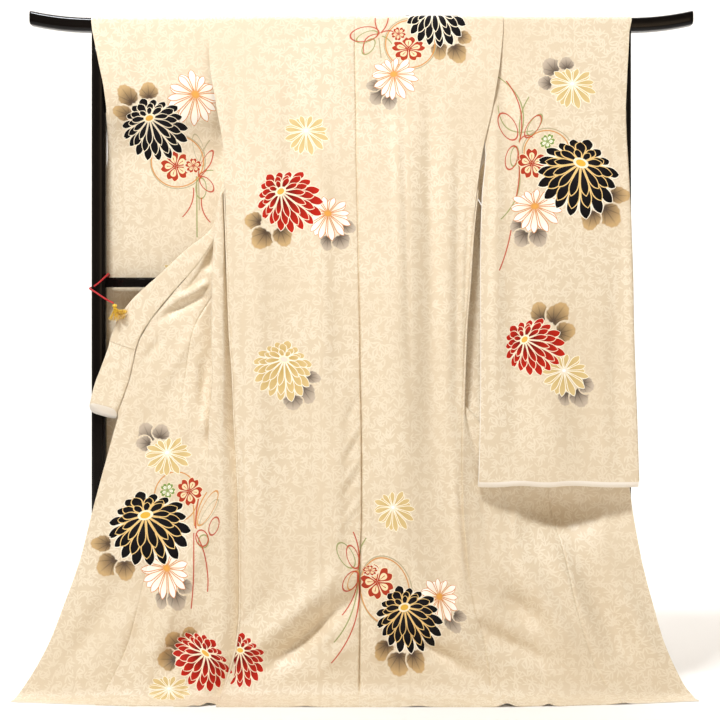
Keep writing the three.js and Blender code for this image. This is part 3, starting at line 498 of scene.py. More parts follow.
LEAVES = [
    (0, -523, 1331, 18, 21, 35, 0), (0, -475, 1341, 18, 16, 5, 0), (0, -534, 1293, 14, 18, 70, 0),
    (1, -239, 1045, 17, 16, 80, 0), (1, -221, 1006, 21, 20, 145, 0), (1, -174, 1011, 18, 19, 200, 0),
    (1, -75, 996, 13, 14, 175, 1), (1, -44, 999, 17, 14, 205, 1), (1, -28, 1031, 12, 13, 245, 1),
    (1, 174, 1425, 16, 16, 180, 0), (1, 214, 1420, 18, 19, 205, 0), (1, 230, 1455, 13, 13, 250, 0),
    (1, 36, 1323, 16, 16, 140, 1), (1, 63, 1311, 14, 14, 185, 1), (1, 27, 1348, 11, 13, 95, 1),
    (2, 423, 1392, 18, 16, 40, 1), (2, 457, 1399, 14, 12, 5, 1), (2, 410, 1356, 13, 13, 85, 1),
    (2, 573, 1104, 16, 19, 265, 0), (2, 551, 1059, 22, 23, 215, 0), (2, 509, 1050, 18, 20, 165, 0),
    (2, 345, 1034, 14, 12, 120, 1), (2, 357, 1008, 17, 16, 150, 1), (2, 393, 1010, 17, 17, 200, 1),
    (2, 395, 844, 18, 18, 15, 0), (2, 436, 839, 21, 23, -35, 0), (2, 452, 801, 18, 18, -75, 0),
    (2, 450, 653, 14, 13, 175, 1), (2, 482, 655, 18, 18, 205, 1), (2, 498, 681, 15, 13, 240, 1),
    (1, -106, 698, 11, 14, -105, 1), (1, -122, 662, 18, 19, 215, 1), (1, -151, 643, 18, 14, 180, 1),
    (1, -475, 574, 18, 19, 25, 1), (1, -444, 576, 16, 14, -10, 1), (1, -482, 551, 14, 14, 85, 1),
    (1, -572, 332, 15, 19, 90, 0), (1, -557, 285, 22, 21, 130, 0), (1, -519, 274, 18, 19, 185, 0),
    (1, -433, 210, 16, 16, 170, 1), (1, -397, 212, 18, 20, 200, 1), (1, -379, 239, 14, 13, 240, 1),
    (1, -403, 119, 21, 19, 40, 0), (1, -369, 135, 15, 13, 10, 0), (1, -422, 80, 20, 18, 85, 0),
    (1, 49, 99, 18, 19, 150, 0), (1, 83, 71, 22, 22, 180, 0), (1, 120, 75, 16, 21, 205, 0),
    (1, 200, 160, 13, 19, 215, 1), (1, 215, 174, 10, 13, 250, 1),
]
LOOPS = [
    (0, -415, 1185, 59, 57, 0, 1), (0, -414, 1184, 62, 60, 0, 3), (0, -349, 1134, 21, 11, -48, 0),
    (0, -362, 1125, 12, 23, 0, 2), (0, -366, 1210, 11, 36, 14, 3), (0, -351, 1181, 9, 32, -28, 0),
    (2, 326, 1258, 18, 33, 28, 0), (2, 382, 1258, 12, 29, -33, 0), (2, 386, 1262, 11, 27, -33, 2),
    (2, 334, 1188, 13, 27, -14, 0), (2, 341, 1191, 9, 22, -8, 2), (2, 413, 1200, 51, 49, 0, 1),
    (2, 414, 1201, 56, 53, 0, 3), (1, 7, 1463, 32, 16, 10, 0), (1, 13, 1457, 25, 11, 22, 2),
    (1, 16, 1435, 20, 11, 55, 2), (1, 109, 1441, 55, 53, 0, 1), (1, 109, 1441, 58, 57, 0, 3),
    (1, -408, 434, 49, 55, 0, 1), (1, -336, 410, 12, 42, -27, 1), (1, -333, 401, 9, 33, -33, 3),
    (1, -321, 371, 10, 20, -15, 0), (1, -346, 345, 13, 18, 20, 0), (1, -342, 338, 11, 14, 0, 2),
    (1, 52, 230, 53, 73, 10, 1), (1, 54, 230, 57, 77, 12, 3), (1, -19, 303, 12, 26, 18, 0),
    (1, -34, 307, 15, 31, 30, 2), (1, -24, 250, 14, 24, -32, 0), (1, -18, 252, 10, 22, -22, 1),
]
LINES = [
    (0, -379, 1126, -404, 1060, 0.12, 0), (0, -361, 1104, -341, 1048, -0.12, 0),
    (0, -372, 1152, -371, 1014, 0.00, 2), (0, -368, 1152, -366, 1075, 0.00, 3),
    (0, -366, 1156, -341, 1233, 0.10, 3), (0, -366, 1156, -335, 1206, -0.15, 0),
    (0, -366, 1156, -334, 1165, 0.10, 2), (2, 352, 1224, 323, 1361, -0.12, 0),
    (2, 350, 1224, 305, 1370, -0.20, 2), (2, 354, 1231, 374, 1325, 0.10, 2),
    (2, 351, 1222, 383, 1233, 0.30, 0), (2, 347, 1182, 309, 1050, 0.15, 2),
    (2, 348, 1204, 343, 1097, 0.05, 0), (2, 332, 1026, 305, 936, 0.03, 0),
    (2, 382, 1249, 304, 1305, 0.30, 2), (1, 41, 1466, 31, 1500, 0.10, 0), (1, 43, 1466, 60, 1500, -0.10, 0),
    (1, 44, 1466, 84, 1459, 0.20, 0), (1, 42, 1464, 6, 1419, -0.30, 0), (1, 39, 1455, 44, 1410, 0.00, 3),
    (1, 46, 1459, 68, 1441, 0.10, 2), (1, -365, 356, -365, 191, 0.02, 0),
    (1, -360, 356, -330, 227, 0.08, 0), (1, -362, 366, -352, 450, 0.05, 0),
    (1, -360, 364, -339, 445, 0.10, 1), (1, -370, 428, -365, 371, 0.00, 1),
    (1, -8, 274, -18, 358, -0.08, 0), (1, -5, 276, 11, 345, 0.10, 2), (1, -9, 270, -42, 174, 0.10, 0),
    (1, -8, 263, -66, 73, 0.12, 0), (1, -8, 263, -60, 117, 0.10, 2), (1, -6, 296, -5, 230, 0.00, 2),
]
PLUMS = [
    (0, -419, 1175, 37, 37, 18, 0), (0, -379, 1176, 20, 18, 0, 0), (2, 379, 1175, 34, 37, 0, 0),
    (2, 414, 1225, 20, 16, 45, 1), (1, 105, 1430, 40, 30, 0, 0), (1, 83, 1464, 18, 16, 30, 0),
    (1, -379, 446, 31, 34, -25, 0), (1, -428, 448, 19, 18, 45, 1), (1, 35, 250, 39, 41, 22, 0),
    (1, 19, 274, 18, 12, 0, 0),
]
# The silk's and the dyes' colours, each motif's in the order of its colourings; the sprays' lighter silk
# colour is painted sheen.
SILK_GROUND, SILK_SPRAY_SHEEN = ("#DBCAAE", "#E1D1B5"), "#F0E5CF"
LEAF_BASE, LEAF_TIP, LEAF_VEIN = ("#3E2412", "#4E4038"), ("#C5A26C", "#BFAF9C"), ("#24140A", "#2F2621")
# of the loops' and ribbons' lines: colour, and half their width in millimetres
LINE_COLOURS, LINE_WIDE = ("#BC4329", "#D08F43", "#979B5C", "#B3A582"), (1.5, 1.4, 1.4, 1.2)
LINE_HALF = 0.0014  # half a ribbon's width, in metres
PLUM_RIM, PLUM_DROP = ("#B03A22", "#7E9A4C"), ("#F0DBAE", "#FBF7E8")
DAISY_LINE, DAISY_PETAL, DAISY_BASE = ("#D58F56", "#FDF6E2"), ("#FFFDF6", "#DDC48A"), ("#F6E2C4", "#CBAE6C")
DAISY_DISC, DAISY_HEART = ("#E0A050", "#F7EBD8"), ("#E8A548", "#FFFFFF")
MUM_RIM = ("#F8EBD2", "#F8EEDA", "#F8EEDA", "#FBF3DF")
MUM_LINE = ("#F6E3C6", "#F5E8CC", "#EDC983", "#FBF3DF")
MUM_PETAL = ("#BE2210", "#0B090A", "#0B090A", "#DABF84")
MUM_BASE = ("#7E140C", "#1B181D", "#1B181D", "#C8A965")
MUM_DISC = ("#E9B44A", "#E9B44A", "#E9B93E", "#F3E0D0")


def picked(tree, where, rows, reach=1.12):
    """The place within the motif that covers a point, in units of its half sizes from its middle, with a
    thousandth of its colouring in z; later rows lie over earlier ones, and far off where there is none.
    reach is how far out from its middle a motif covers, in its half sizes."""
    here = (9, 9, 0, 1)
    for _, x, z, wide, high, turned, colouring in rows:
        local = node(tree, "Mapping", where, (x / 1000, z / 1000, -0.001 * colouring),
                     (0, 0, math.radians(turned)), (wide / 1000, high / 1000, 1), vector_type="TEXTURE")
        inside = node(tree, "LESS_THAN", size_of(tree, local), reach)
        here = node(tree, "MixRGB", inside, here, local)
    return here


def spread(tree, local, rise):
    """Polar places about a flower's disc, which sits rise above its middle: the share of the way from the
    disc to the unit circle, the angle of the point where that ray meets it, and the vector from the disc."""
    out = node(tree, "VectorMath", local, (0, rise, 0), operation="SUBTRACT")
    far = size_of(tree, out)
    x, y = parts(tree, out)
    lean = node(tree, "DIVIDE", node(tree, "MULTIPLY", y, rise), far)
    reach = node(tree, "SQRT", node(tree, "MULTIPLY_ADD", lean, lean, 1 - rise * rise))
    share = node(tree, "DIVIDE", far, node(tree, "SUBTRACT", reach, lean))
    angle = node(tree, "ARCTAN2", node(tree, "ADD", node(tree, "DIVIDE", y, share), rise),
                 node(tree, "DIVIDE", x, share))
    return share, angle, out


def petals(tree, share, angle, count, shift, tip, broad, slim, line):
    """One ring of petals: whether a point is in a petal or its outline, whether it is within the outline,
    and how far along it lies. A petal fills one part in count of the turn up to the share broad of its
    length. From there its width is one less the cube of the share of the way to its point, and the outline
    keeps its width toward the disc."""
    cell = node(tree, "MULTIPLY_ADD", angle, count / (2 * math.pi), shift)
    chance = node(tree, "TexWhiteNoise", None, node(tree, "FLOOR", cell), noise_dimensions="1D")
    along = node(tree, "MULTIPLY", share, node(tree, "MULTIPLY_ADD", chance, 0.2 / tip, 0.95 / tip))
    across = node(tree, "ABSOLUTE", node(tree, "SUBTRACT", node(tree, "FRACT", cell), 0.5))
    beyond = node(tree, "MULTIPLY_ADD", along, 1 / (1 - broad), -broad / (1 - broad))
    beyond = node(tree, "POWER", node(tree, "MAXIMUM", beyond, 0.0), 3.0)
    edge = node(tree, "ADD", beyond, node(tree, "MULTIPLY", across, 2 * slim))
    drawn = node(tree, "MINIMUM", node(tree, "DIVIDE", line * count, share), 0.8)
    inside = node(tree, "LESS_THAN", node(tree, "ADD", edge, drawn), 1.0)
    return node(tree, "LESS_THAN", edge, 1.0), inside, along


def covered(tree, distance, limit, colour, over):
    """A colour with another over it where a distance is less than a limit."""
    return node(tree, "MixRGB", node(tree, "LESS_THAN", distance, limit), colour, over)


def kinds(tree, local, colours):
    """The colour of a motif by its colouring: the first for 0, the second for 1, and so on."""
    number = node(tree, "SeparateXYZ", local, out=2)
    colour = linear(colours[0])
    for k, hexa in enumerate(colours[1:], 1):
        later = node(tree, "GREATER_THAN", number, 0.001 * k - 0.0005)
        colour = node(tree, "MixRGB", later, colour, linear(hexa))
    return colour


def painted_silk(name, area, low, high):
    """Figured silk with the motifs of one area that reach into the cloth between two corners, low and high,
    each a width and a height."""
    made, tree, shader = new_material(name)
    where = node(tree, "UVMap", uv_map="pattern")

    def near(rows):
        """The motifs of this area that reach into the cloth."""
        return [r for r in rows if r[0] == area and all(
            low[k] - r[3 + k] < r[1 + k] < high[k] + r[3 + k] for k in (0, 1))]

    # Damask: the sprays are warp satin, less rough than the ground, and their lighter colour is painted sheen
    # for the light they catch along their threads. Each has three leaves 13 to 17 mm long, 41 degrees apart,
    # one spray to each cell of 21.5, 24.5 and 28 mm.
    woven = None
    for offset, pitch in [((0, 0, 0), 0.0215), ((0.517, 0.211, 0), 0.0245), ((0.131, 0.733, 0), 0.028)]:
        moved = node(tree, "Mapping", where, offset, (0, 0, 0), (1 / pitch, 1 / pitch, 1))
        cells = tree.nodes.new("ShaderNodeTexVoronoi")
        cells.voronoi_dimensions = "2D"
        cells.inputs["Scale"].default_value = 1.0
        cells.inputs["Randomness"].default_value = 0.7
        tree.links.new(moved, cells.inputs["Vector"])
        spray = node(tree, "VectorMath", moved, cells.outputs["Position"], operation="SUBTRACT")
        luck = node(tree, "SeparateColor", cells.outputs["Color"])
        # five directions of growth
        heading = node(tree, "MULTIPLY", node(tree, "FLOOR", node(tree, "MULTIPLY", luck, 5.0)), 1.32)
        spray = node(tree, "VectorRotate", spray, (0, 0, 0), (0, 0, 1), heading)
        spray = node(tree, "VectorMath", spray, (0, 0.30, 0), operation="ADD")
        sx, sy = parts(tree, spray)
        fan = node(tree, "MULTIPLY", node(tree, "ARCTAN2", sx, sy), 1 / 0.72)
        leaf = node(tree, "SUBTRACT", fan, node(tree, "ROUND", fan))
        out = size_of(tree, spray)
        side = node(tree, "MULTIPLY", node(tree, "MULTIPLY", leaf, out), 0.72 / 0.07)
        length = node(tree, "MULTIPLY_ADD", out, 1 / 0.30, -0.36 / 0.30)
        shape = size_of(tree, node(tree, "CombineXYZ", side, length))
        shape = node(tree, "ADD", shape, node(tree, "GREATER_THAN", node(tree, "ABSOLUTE", fan), 1.5))
        mask = node(tree, "MapRange", shape, 1.1, 0.8, 0.0, 1.0)
        woven = mask if woven is None else node(tree, "MAXIMUM", woven, mask)
    soft = node(tree, "TexNoise", where, None, 5.0, 3.0)
    sprays_and_sheen = node(tree, "MULTIPLY", woven, node(tree, "MapRange", soft, 0.3, 0.7, 0.35, 1.0))
    ground = node(tree, "MixRGB", soft, linear(SILK_GROUND[0]), linear(SILK_GROUND[1]))
    # threads are 0.2 mm apart, too fine to show, so the slubs are drawn about 1 mm by 6 mm
    threads = node(tree, "Mapping", where, (0, 0, 0), (0, 0, 0), (900, 160, 1))
    slub = node(tree, "TexNoise", threads, None, 1.0, 2.0)
    # the sprays' lighter colour over the ground is painted sheen
    ground = node(tree, "MixRGB", node(tree, "MULTIPLY", sprays_and_sheen, 0.85), ground, linear(SILK_SPRAY_SHEEN))
    shown = node(tree, "MapRange", slub, 0.3, 0.7, 0.0, 0.06)
    colour = node(tree, "MixRGB", shown, ground, linear("#B99B70"))

    # Leaves: three broad lobes with a toothed rim, dark and veined at the base and paler toward the rim.
    rows = near(LEAVES)
    if rows:
        local = picked(tree, where, rows, 1.42)
        around = node(tree, "ARCTAN2", *parts(tree, local))
        lobes = node(tree, "ABSOLUTE", node(tree, "COSINE", node(tree, "MULTIPLY", around, 1.5)))
        teeth = node(tree, "ABSOLUTE", node(tree, "COSINE", node(tree, "MULTIPLY", around, 6.5)))
        rim = node(tree, "MULTIPLY_ADD", teeth, 0.07, node(tree, "MULTIPLY_ADD", lobes, 0.24, 1.02))
        out = node(tree, "DIVIDE", size_of(tree, local), rim)
        cover = node(tree, "MapRange", out, 1.03, 0.88, 0.0, 1.0, interpolation_type="SMOOTHSTEP")
        stem = node(tree, "VectorMath", local, (0, -0.85, 0), operation="SUBTRACT")
        away = size_of(tree, stem)
        fan = node(tree, "ARCTAN2", *parts(tree, stem))
        vein = node(tree, "ABSOLUTE", node(tree, "SINE", node(tree, "MULTIPLY", fan, 5.2)))
        vein = node(tree, "MULTIPLY", node(tree, "MapRange", vein, 0.42, 0.05, 0.0, 0.85),
                    node(tree, "MapRange", away, 2.0, 0.3, 0.0, 1.0))
        dyed = node(tree, "MapRange", away, 0.2, 1.75, 0.0, 1.0)
        shade = node(tree, "MixRGB", dyed, kinds(tree, local, LEAF_BASE), kinds(tree, local, LEAF_TIP))
        shade = node(tree, "MixRGB", vein, shade, kinds(tree, local, LEAF_VEIN))
        cover = node(tree, "MULTIPLY", cover, 0.92)
        colour = node(tree, "MixRGB", cover, colour, shade)

    # Rings, loops and ribbons: lines about 3 mm wide, in red, gold, green and grey, some drawn over others.
    drawn = {}
    for _, x, z, wide, tall, turned, colouring in near(LOOPS):
        local = node(tree, "Mapping", where, (x / 1000, z / 1000, 0), (0, 0, math.radians(turned)),
                     (wide / 1000, tall / 1000, 1), vector_type="TEXTURE")
        size = size_of(tree, local)
        mask = node(tree, "COMPARE", size, 1.0, LINE_WIDE[colouring] / (0.5 * (wide + tall)))
        drawn[colouring] = node(tree, "MAXIMUM", drawn[colouring], mask) if colouring in drawn else mask
    crossing = [r for r in LINES if r[0] == area and min(r[1], r[3]) < high[0] and max(r[1], r[3]) > low[0]]
    for _, x, z, x2, z2, bulge, colouring in crossing:
        # a parabola over the straight line from end to end, in units of half its length
        half = math.hypot(x2 - x, z2 - z) / 2000
        local = node(tree, "Mapping", where, ((x + x2) / 2000, (z + z2) / 2000, 0),
                     (0, 0, math.atan2(z2 - z, x2 - x)), (half, half, 1), vector_type="TEXTURE")
        t, s = parts(tree, local)
        square = node(tree, "MULTIPLY", t, t)
        bow = node(tree, "MULTIPLY_ADD", square, -2 * bulge, 2 * bulge)
        mask = node(tree, "COMPARE", s, bow, LINE_HALF / half)
        mask = node(tree, "MULTIPLY", mask, node(tree, "LESS_THAN", square, 1.0))
        drawn[colouring] = node(tree, "MAXIMUM", drawn[colouring], mask) if colouring in drawn else mask
    for colouring in sorted(drawn, reverse=True):
        cover = node(tree, "MULTIPLY", drawn[colouring], 0.9)
        colour = node(tree, "MixRGB", cover, colour, linear(LINE_COLOURS[colouring]))

    # Plum flowers in the rings: heart-shaped petals in red with a cream drop in each, or green and white.
    rows = near(PLUMS)
    if rows:
        local = picked(tree, where, rows)
        out = size_of(tree, local)
        angle = node(tree, "ARCTAN2", *parts(tree, local))
        cell = node(tree, "MULTIPLY_ADD", angle, 5 / (2 * math.pi), 0.5)
        across = node(tree, "ABSOLUTE", node(tree, "SUBTRACT", node(tree, "FRACT", cell), 0.5))
        notch = node(tree, "MapRange", across, 0.0, 0.16, 1.24, 1.0)
        along = node(tree, "MULTIPLY", out, notch)
        beyond = node(tree, "MAXIMUM", node(tree, "MULTIPLY_ADD", along, 1 / 0.42, -0.58 / 0.42), 0.0)
        edge = size_of(tree, node(tree, "CombineXYZ", beyond, node(tree, "MULTIPLY", across, 2.02)))
        upward = node(tree, "MULTIPLY_ADD", out, 1 / 0.25, -0.42 / 0.25)
        drop = size_of(tree, node(tree, "CombineXYZ", upward, node(tree, "MULTIPLY", across, 1 / 0.30)))
        colour = covered(tree, edge, 1.0, colour, linear("#F4E3BC"))
        colour = covered(tree, edge, 0.9, colour, kinds(tree, local, PLUM_RIM))
        colour = covered(tree, drop, 1.0, colour, kinds(tree, local, PLUM_DROP))
        streak = node(tree, "LESS_THAN", across, 0.035)
        streak = node(tree, "MULTIPLY", streak, node(tree, "LESS_THAN", out, 0.55))
        colour = node(tree, "MixRGB", streak, colour, kinds(tree, local, PLUM_RIM))

    # Daisies: slim separate petals in two layers, white within orange lines or gold within white ones.
    rows = near(DAISIES)
    if rows:
        local = picked(tree, where, rows)
        share, angle, out = spread(tree, local, 0.17)
        for count, shift, tip, broad, slim in [(9, 0.5, 0.94, 0.45, 1.15), (12, 0.0, 1.03, 0.50, 1.18)]:
            edge, fill, along = petals(tree, share, angle, count, shift, tip, broad, slim, 0.0125)
            colour = node(tree, "MixRGB", edge, colour, kinds(tree, local, DAISY_LINE))
            base = kinds(tree, local, DAISY_BASE)
            tint = node(tree, "MixRGB", along, base, kinds(tree, local, DAISY_PETAL))
            colour = node(tree, "MixRGB", fill, colour, tint)
        disc = size_of(tree, node(tree, "VectorMath", out, (0.16, 0.14, 1), operation="DIVIDE"))
        colour = covered(tree, disc, 1.0, colour, kinds(tree, local, DAISY_DISC))
        colour = covered(tree, disc, 0.5, colour, kinds(tree, local, DAISY_HEART))

    # Chrysanthemums: three rings of petals round a disc set above the middle, so the lower ones are longer.
    rows = near(MUMS)
    if rows:
        local = picked(tree, where, rows)
        share, angle, out = spread(tree, local, 0.40)
        rings = [(17, 0.2, 1.05, 0.72), (14, 0.55, 0.86, 0.60), (11, 0.1, 0.64, 0.42)]
        for ring, (count, shift, tip, broad) in enumerate(rings):
            edge, fill, along = petals(tree, share, angle, count, shift, tip, broad, 1.0, 0.0092)
            colour = node(tree, "MixRGB", edge, colour, kinds(tree, local, MUM_LINE if ring else MUM_RIM))
            tint = node(tree, "MixRGB", node(tree, "MapRange", along, 0.45, 0.95, 0.0, 1.0),
                        kinds(tree, local, MUM_BASE), kinds(tree, local, MUM_PETAL))
            colour = node(tree, "MixRGB", fill, colour, tint)
        disc = size_of(tree, node(tree, "VectorMath", out, (0.15, 0.105, 1), operation="DIVIDE"))
        colour = covered(tree, disc, 1.25, colour, linear("#FBF0D2"))
        colour = covered(tree, disc, 0.8, colour, kinds(tree, local, MUM_DISC))

    tree.links.new(colour, shader.inputs["Base Color"])
    tree.links.new(node(tree, "MapRange", sprays_and_sheen, 0.0, 1.0, 0.57, 0.44), shader.inputs["Roughness"])
    # the sprays stand about 0.1 mm proud, and the ground has a faint grain and soft crumples
    crumple = node(tree, "TexNoise", where, None, 26.0, 3.0)
    height = node(tree, "MULTIPLY_ADD", slub, 0.06, node(tree, "MULTIPLY", sprays_and_sheen, 0.08))
    height = node(tree, "MULTIPLY_ADD", crumple, 0.9, height)
    raised(tree, shader, height, 0.5, 0.001)
    # dyed silk shines less than bare silk, and black least of all
    bright = node(tree, "RGBToBW", colour)
    shine = node(tree, "MapRange", bright, 0.02, 0.5, 0.1, 0.42)
    tree.links.new(shine, shader.inputs["Specular IOR Level"])
    shader.inputs["Sheen Weight"].default_value = 0.06
    shader.inputs["Sheen Roughness"].default_value = 0.4
    return made


# The lining is plain cream silk of a lighter weave. It shows as a narrow roll along the sleeves' edges.
lining, tree, shader = new_material("silk_lining")
where = node(tree, "UVMap", uv_map="pattern")
threads = node(tree, "Mapping", where, (0, 0, 0), (0, 0, 0), (700, 120, 1))
slub = node(tree, "TexNoise", threads, None, 1.0, 2.0)
two_toned(tree, shader, slub, "#EFE6D8", "#F7F0E4")
tree.links.new(node(tree, "MapRange", slub, 0.3, 0.7, 0.52, 0.64), shader.inputs["Roughness"])
raised(tree, shader, slub, 0.3, 0.0004)
shader.inputs["Sheen Weight"].default_value = 0.1
piping = lining.copy()
piping.name = "silk_edge"

# Two back panels, each a width of silk, joined by the centre seam and laid over the bar.
over = over_bar(BODY_LIFT, 8)
over_run = np.concatenate([[0], np.cumsum(np.hypot(*np.diff(over, axis=0).T))])
for name, first, last, gap_first, gap_last in [
        ("back_left", 2, 3, 0, GAP / 2), ("back_right", 3, 4, GAP / 2, 0)]:
    share = crowded(111)
    x = (BODY[:, first] + gap_first)[:, None] * (1 - share) + (BODY[:, last] - gap_last)[:, None] * share
    z = np.repeat(BODY[:, :1], len(share), 1)
    # the centre seam draws in more toward the hem
    seam = seam_dip(x - BODY[:, 3:4]) * smooth(1500, 1440, z) * (1 + 1.4 * smooth(1050, 620, z))
    side = 0.4 * seam_dip(x - BODY[:, first : first + 1] if first == 2 else x - BODY[:, last : last + 1])
    y = BODY[:, 1:2] + troughs(FOLDS, x, z) + troughs(CREASES, x, z)
    y = y + unevenness(x, z) * smooth(CLOTH_TOP, 1380, z)
    y = y + (seam + side * smooth(SEAM_TOP, 1000, z)) * smooth(3, 30, z)
    front = np.stack([x, y, on_floor(x, z)], -1)
    top = np.zeros((len(over) + 1, len(share), 3))
    top[..., 0] = x[0]
    top[0, :, 1:] = (BAR_DEEP / 2 + BODY_LIFT, CLOTH_TOP + 3 * GAP)
    top[1:, :, 1:] = over[:, None]
    points = np.concatenate([top, front])
    down = np.concatenate([
        [DOWN[0] + (over_run[-1] + 50) / 1000], DOWN[0] + (over_run[-1] - over_run + 25) / 1000, DOWN])
    pattern = np.stack([points[..., 0] / 1000, np.repeat(down[:, None], len(share), 1)], -1)
    reach = ((-345, -90), (5, 1600)) if first == 2 else ((-20, -90), (340, 1600))
    silk = painted_silk("figured_silk_" + name, 1, *reach)
    made = cloth(name + "_silk", points, pattern, [silk, lining, silk])
    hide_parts(name)

# Each front is one width of silk, drawn out to its own side: from the side seam the cloth turns behind the
# back panel, folds, and comes out again to the okumi seam. open is 0 where the fold is closed.
LEFT = np.array([
    # z, freeX, ridgeL, ridgeR, ridgeY, foldX, innerY, outerY, okumiX, okumiY, edgeX, edgeY, open
    (1470, -340, -334, -328, 22, -96, 22, 22.5, -76, 23, -70, 23, 0),
    (1400, -273, -267, -261, 25, -146, 25, 25.5, -123.5, 36, -122, 36, 0),
    (1300, -262, -256, -250, 8, -200, 8, 9, -175.5, 18, -174, 19, 0),
    (1200, -262, -257, -251, -20, -140, -18, -3, -214, -4, -226, -4, 0),
    (1100, -302, -316, -309, -38, -182, -29, -13, -255, -14, -280, -14, 0),
    (1000, -298, -327, -306, -43, -200, -32, -17, -274, -17, -329, -17, 0),
    (900, -294, -331, -308, -47, -225, -36, -20, -322, -19, -409, -18, 0),
    (800, -290, -331, -308, -51, -252, -41, -26, -375, -25, -484, -25, 0),
    (700, -283, -329, -306, -54, -280, -45, -32, -392, -31, -513, -30, 0),
    (600, -279, -336, -309, -57, -312, -50, -40, -405, -39, -543, -36, 0),
    (500, -272, -338, -310, -61, -356, -57, -54, -421, -50, -569, -48, 0.7),
    (400, -268, -333, -302, -65, -385, -63, -62, -445, -60, -594, -60, 1),
    (300, -266, -336, -302, -70, -396, -70, -70, -468, -70, -618, -70, 1),
    (200, -265, -342, -304, -78, -408, -79, -79, -490, -80, -652, -81, 1),
    (120, -271, -352, -312, -86, -424, -88, -88, -510, -89, -682, -91, 1),
    (60, -285, -368, -328, -95, -446, -97, -97, -534, -98, -713, -101, 1),
    (25, -296, -382, -341, -105, -464, -107, -107, -553, -108, -735, -109, 1),
    (8, -302, -390, -347, -119, -472, -120, -120, -562, -120, -747, -117, 1),
    (2, -305, -393, -349, -149, -476, -146, -146, -566, -141, -752, -128, 1),
    (1.3, -306, -394, -350, -187, -478, -181, -181, -568, -172, -755, -142, 1)], float)
RIGHT = np.array([
    # z, freeX, foldX, innerY, outerY, okumiX, okumiY, edgeX, edgeY, open
    (1470, 313, 68, 22, 22.5, 48, 23, 42, 23, 0), (1400, 300, 118, 24, 24.5, 95.5, 36, 94, 36, 0),
    (1300, 292, 172, 12, 11, 147.5, 20, 146, 21, 0), (1200, 284, 100, -12, 4, 186, 2, 198, 2, 0),
    (1100, 255, 106, -28, -12, 236, -13, 259, -13, 0), (1000, 245, 112, -32, -16, 264, -16, 313, -16, 0),
    (900, 238, 122, -36, -20, 302, -19, 366, -18, 0), (800, 230, 136, -40, -24, 340, -23, 420, -22, 0),
    (700, 226, 158, -45, -30, 376, -28, 474, -26, 0), (600, 223, 262, -50, -42, 402, -35, 545, -33, 0.75),
    (500, 222, 305, -52, -47, 414, -41, 590, -40, 1), (400, 225, 322, -59, -57, 427, -53, 602, -51, 1),
    (300, 233, 340, -66, -65, 450, -63, 617, -62, 1), (200, 247, 358, -74, -73, 471, -72, 641, -71, 1),
    (120, 269, 381, -81, -81, 493, -80, 663, -79, 1), (60, 279, 397, -89, -89, 515, -88, 688, -87, 1),
    (25, 283, 409, -99, -99, 535, -98, 706, -95, 1), (8, 293, 423, -114, -113, 556, -109, 720, -103, 1),
    (2, 300, 430, -144, -141, 563, -132, 725, -117, 1), (1.3, 306, 436, -182, -176, 568, -164, 729, -133, 1)],
    float)


def mix(a, b, t):
    """The value a share t of the way from a to b."""
    return a + (b - a) * t


def before_rail(y, z):
    """Depths kept in front of the rail, where the cloth would rest against it."""
    near = smooth(RAIL_LOW - 34, RAIL_LOW - 6, z) * (1 - smooth(RAIL_TOP + 6, RAIL_TOP + 34, z))
    return mix(y, np.minimum(y, -RAIL_DEEP / 2 - 2), near)


def left_sections():
    """The left front's rows: thirteen points across each, from the side seam over the ridge, behind the back
    panel to the fold and out to the okumi seam, with the share by which the fold is open."""
    (z, free_x, ridge_l, ridge_r, ridge_y, fold_x, inner_y, outer_y, okumi_x, okumi_y, edge_x, edge_y,
     opened) = between(LEFT, ROWS).T
    seamed = 1 - smooth(SEAM_TOP, 1150, z)
    turned = 1 - 2 * smooth(1200, 1290, z)
    free_x = mix(BODY[:, 2], free_x, smooth(1151, 1199, z))
    closed = 1 - 2 * opened
    deep = (20 + 7 * smooth(880, 760, z)) * seamed * (1 - opened * 0.35)
    inner_y = inner_y + 7 * seamed * (1 - opened)
    back_y = BODY[:, 1] + troughs(FOLDS, free_x, z) * seamed
    side_y = mix(inner_y, back_y, seamed)
    crest = mix(inner_y, ridge_y, seamed)
    # where the fold lies farther in than the valley, its two layers pass behind the valley's floor
    floor_y = mix(side_y, crest, 0.5) + deep
    behind = smooth(-310, -292, fold_x) * seamed
    inner_y = mix(inner_y, np.maximum(inner_y, floor_y + 2.5), behind)
    fold_out_y = mix(outer_y, np.maximum(outer_y, floor_y + 6.5), behind)
    across = [
        (free_x - GAP - 0.7 * smooth(1000, 1100, z), side_y),
        (free_x - 2.6, side_y + 0.4),
        (mix((free_x + ridge_r) / 2, free_x - 5, seamed), floor_y),
        (ridge_r, crest + 2.5 * seamed * (1 - opened)),
        ((ridge_l + ridge_r) / 2, crest),
        (ridge_l, crest + 4 * seamed * (1 - opened)),
        (ridge_l + mix(6, 9, seamed) * closed, mix(crest, inner_y, 0.8)),
        ((ridge_l + fold_x) / 2, inner_y),
        (fold_x - 7 * closed, inner_y + 1),
        (fold_x, (inner_y + fold_out_y) / 2),
        (fold_x - 7 * turned, fold_out_y - 1),
        ((fold_x + okumi_x) / 2, (outer_y + okumi_y) / 2),
        (okumi_x + GAP / 2, okumi_y)]
    across = np.array([np.stack([np.broadcast_to(v, z.shape) for v in pair], -1) for pair in across])
    straight = smooth(SEAM_TOP, 1190, z)
    for k in range(1, 7):
        across[k, :, 0] = mix(across[k, :, 0], free_x + k * 4, straight)
    return across, opened, (okumi_x, okumi_y, edge_x, edge_y)


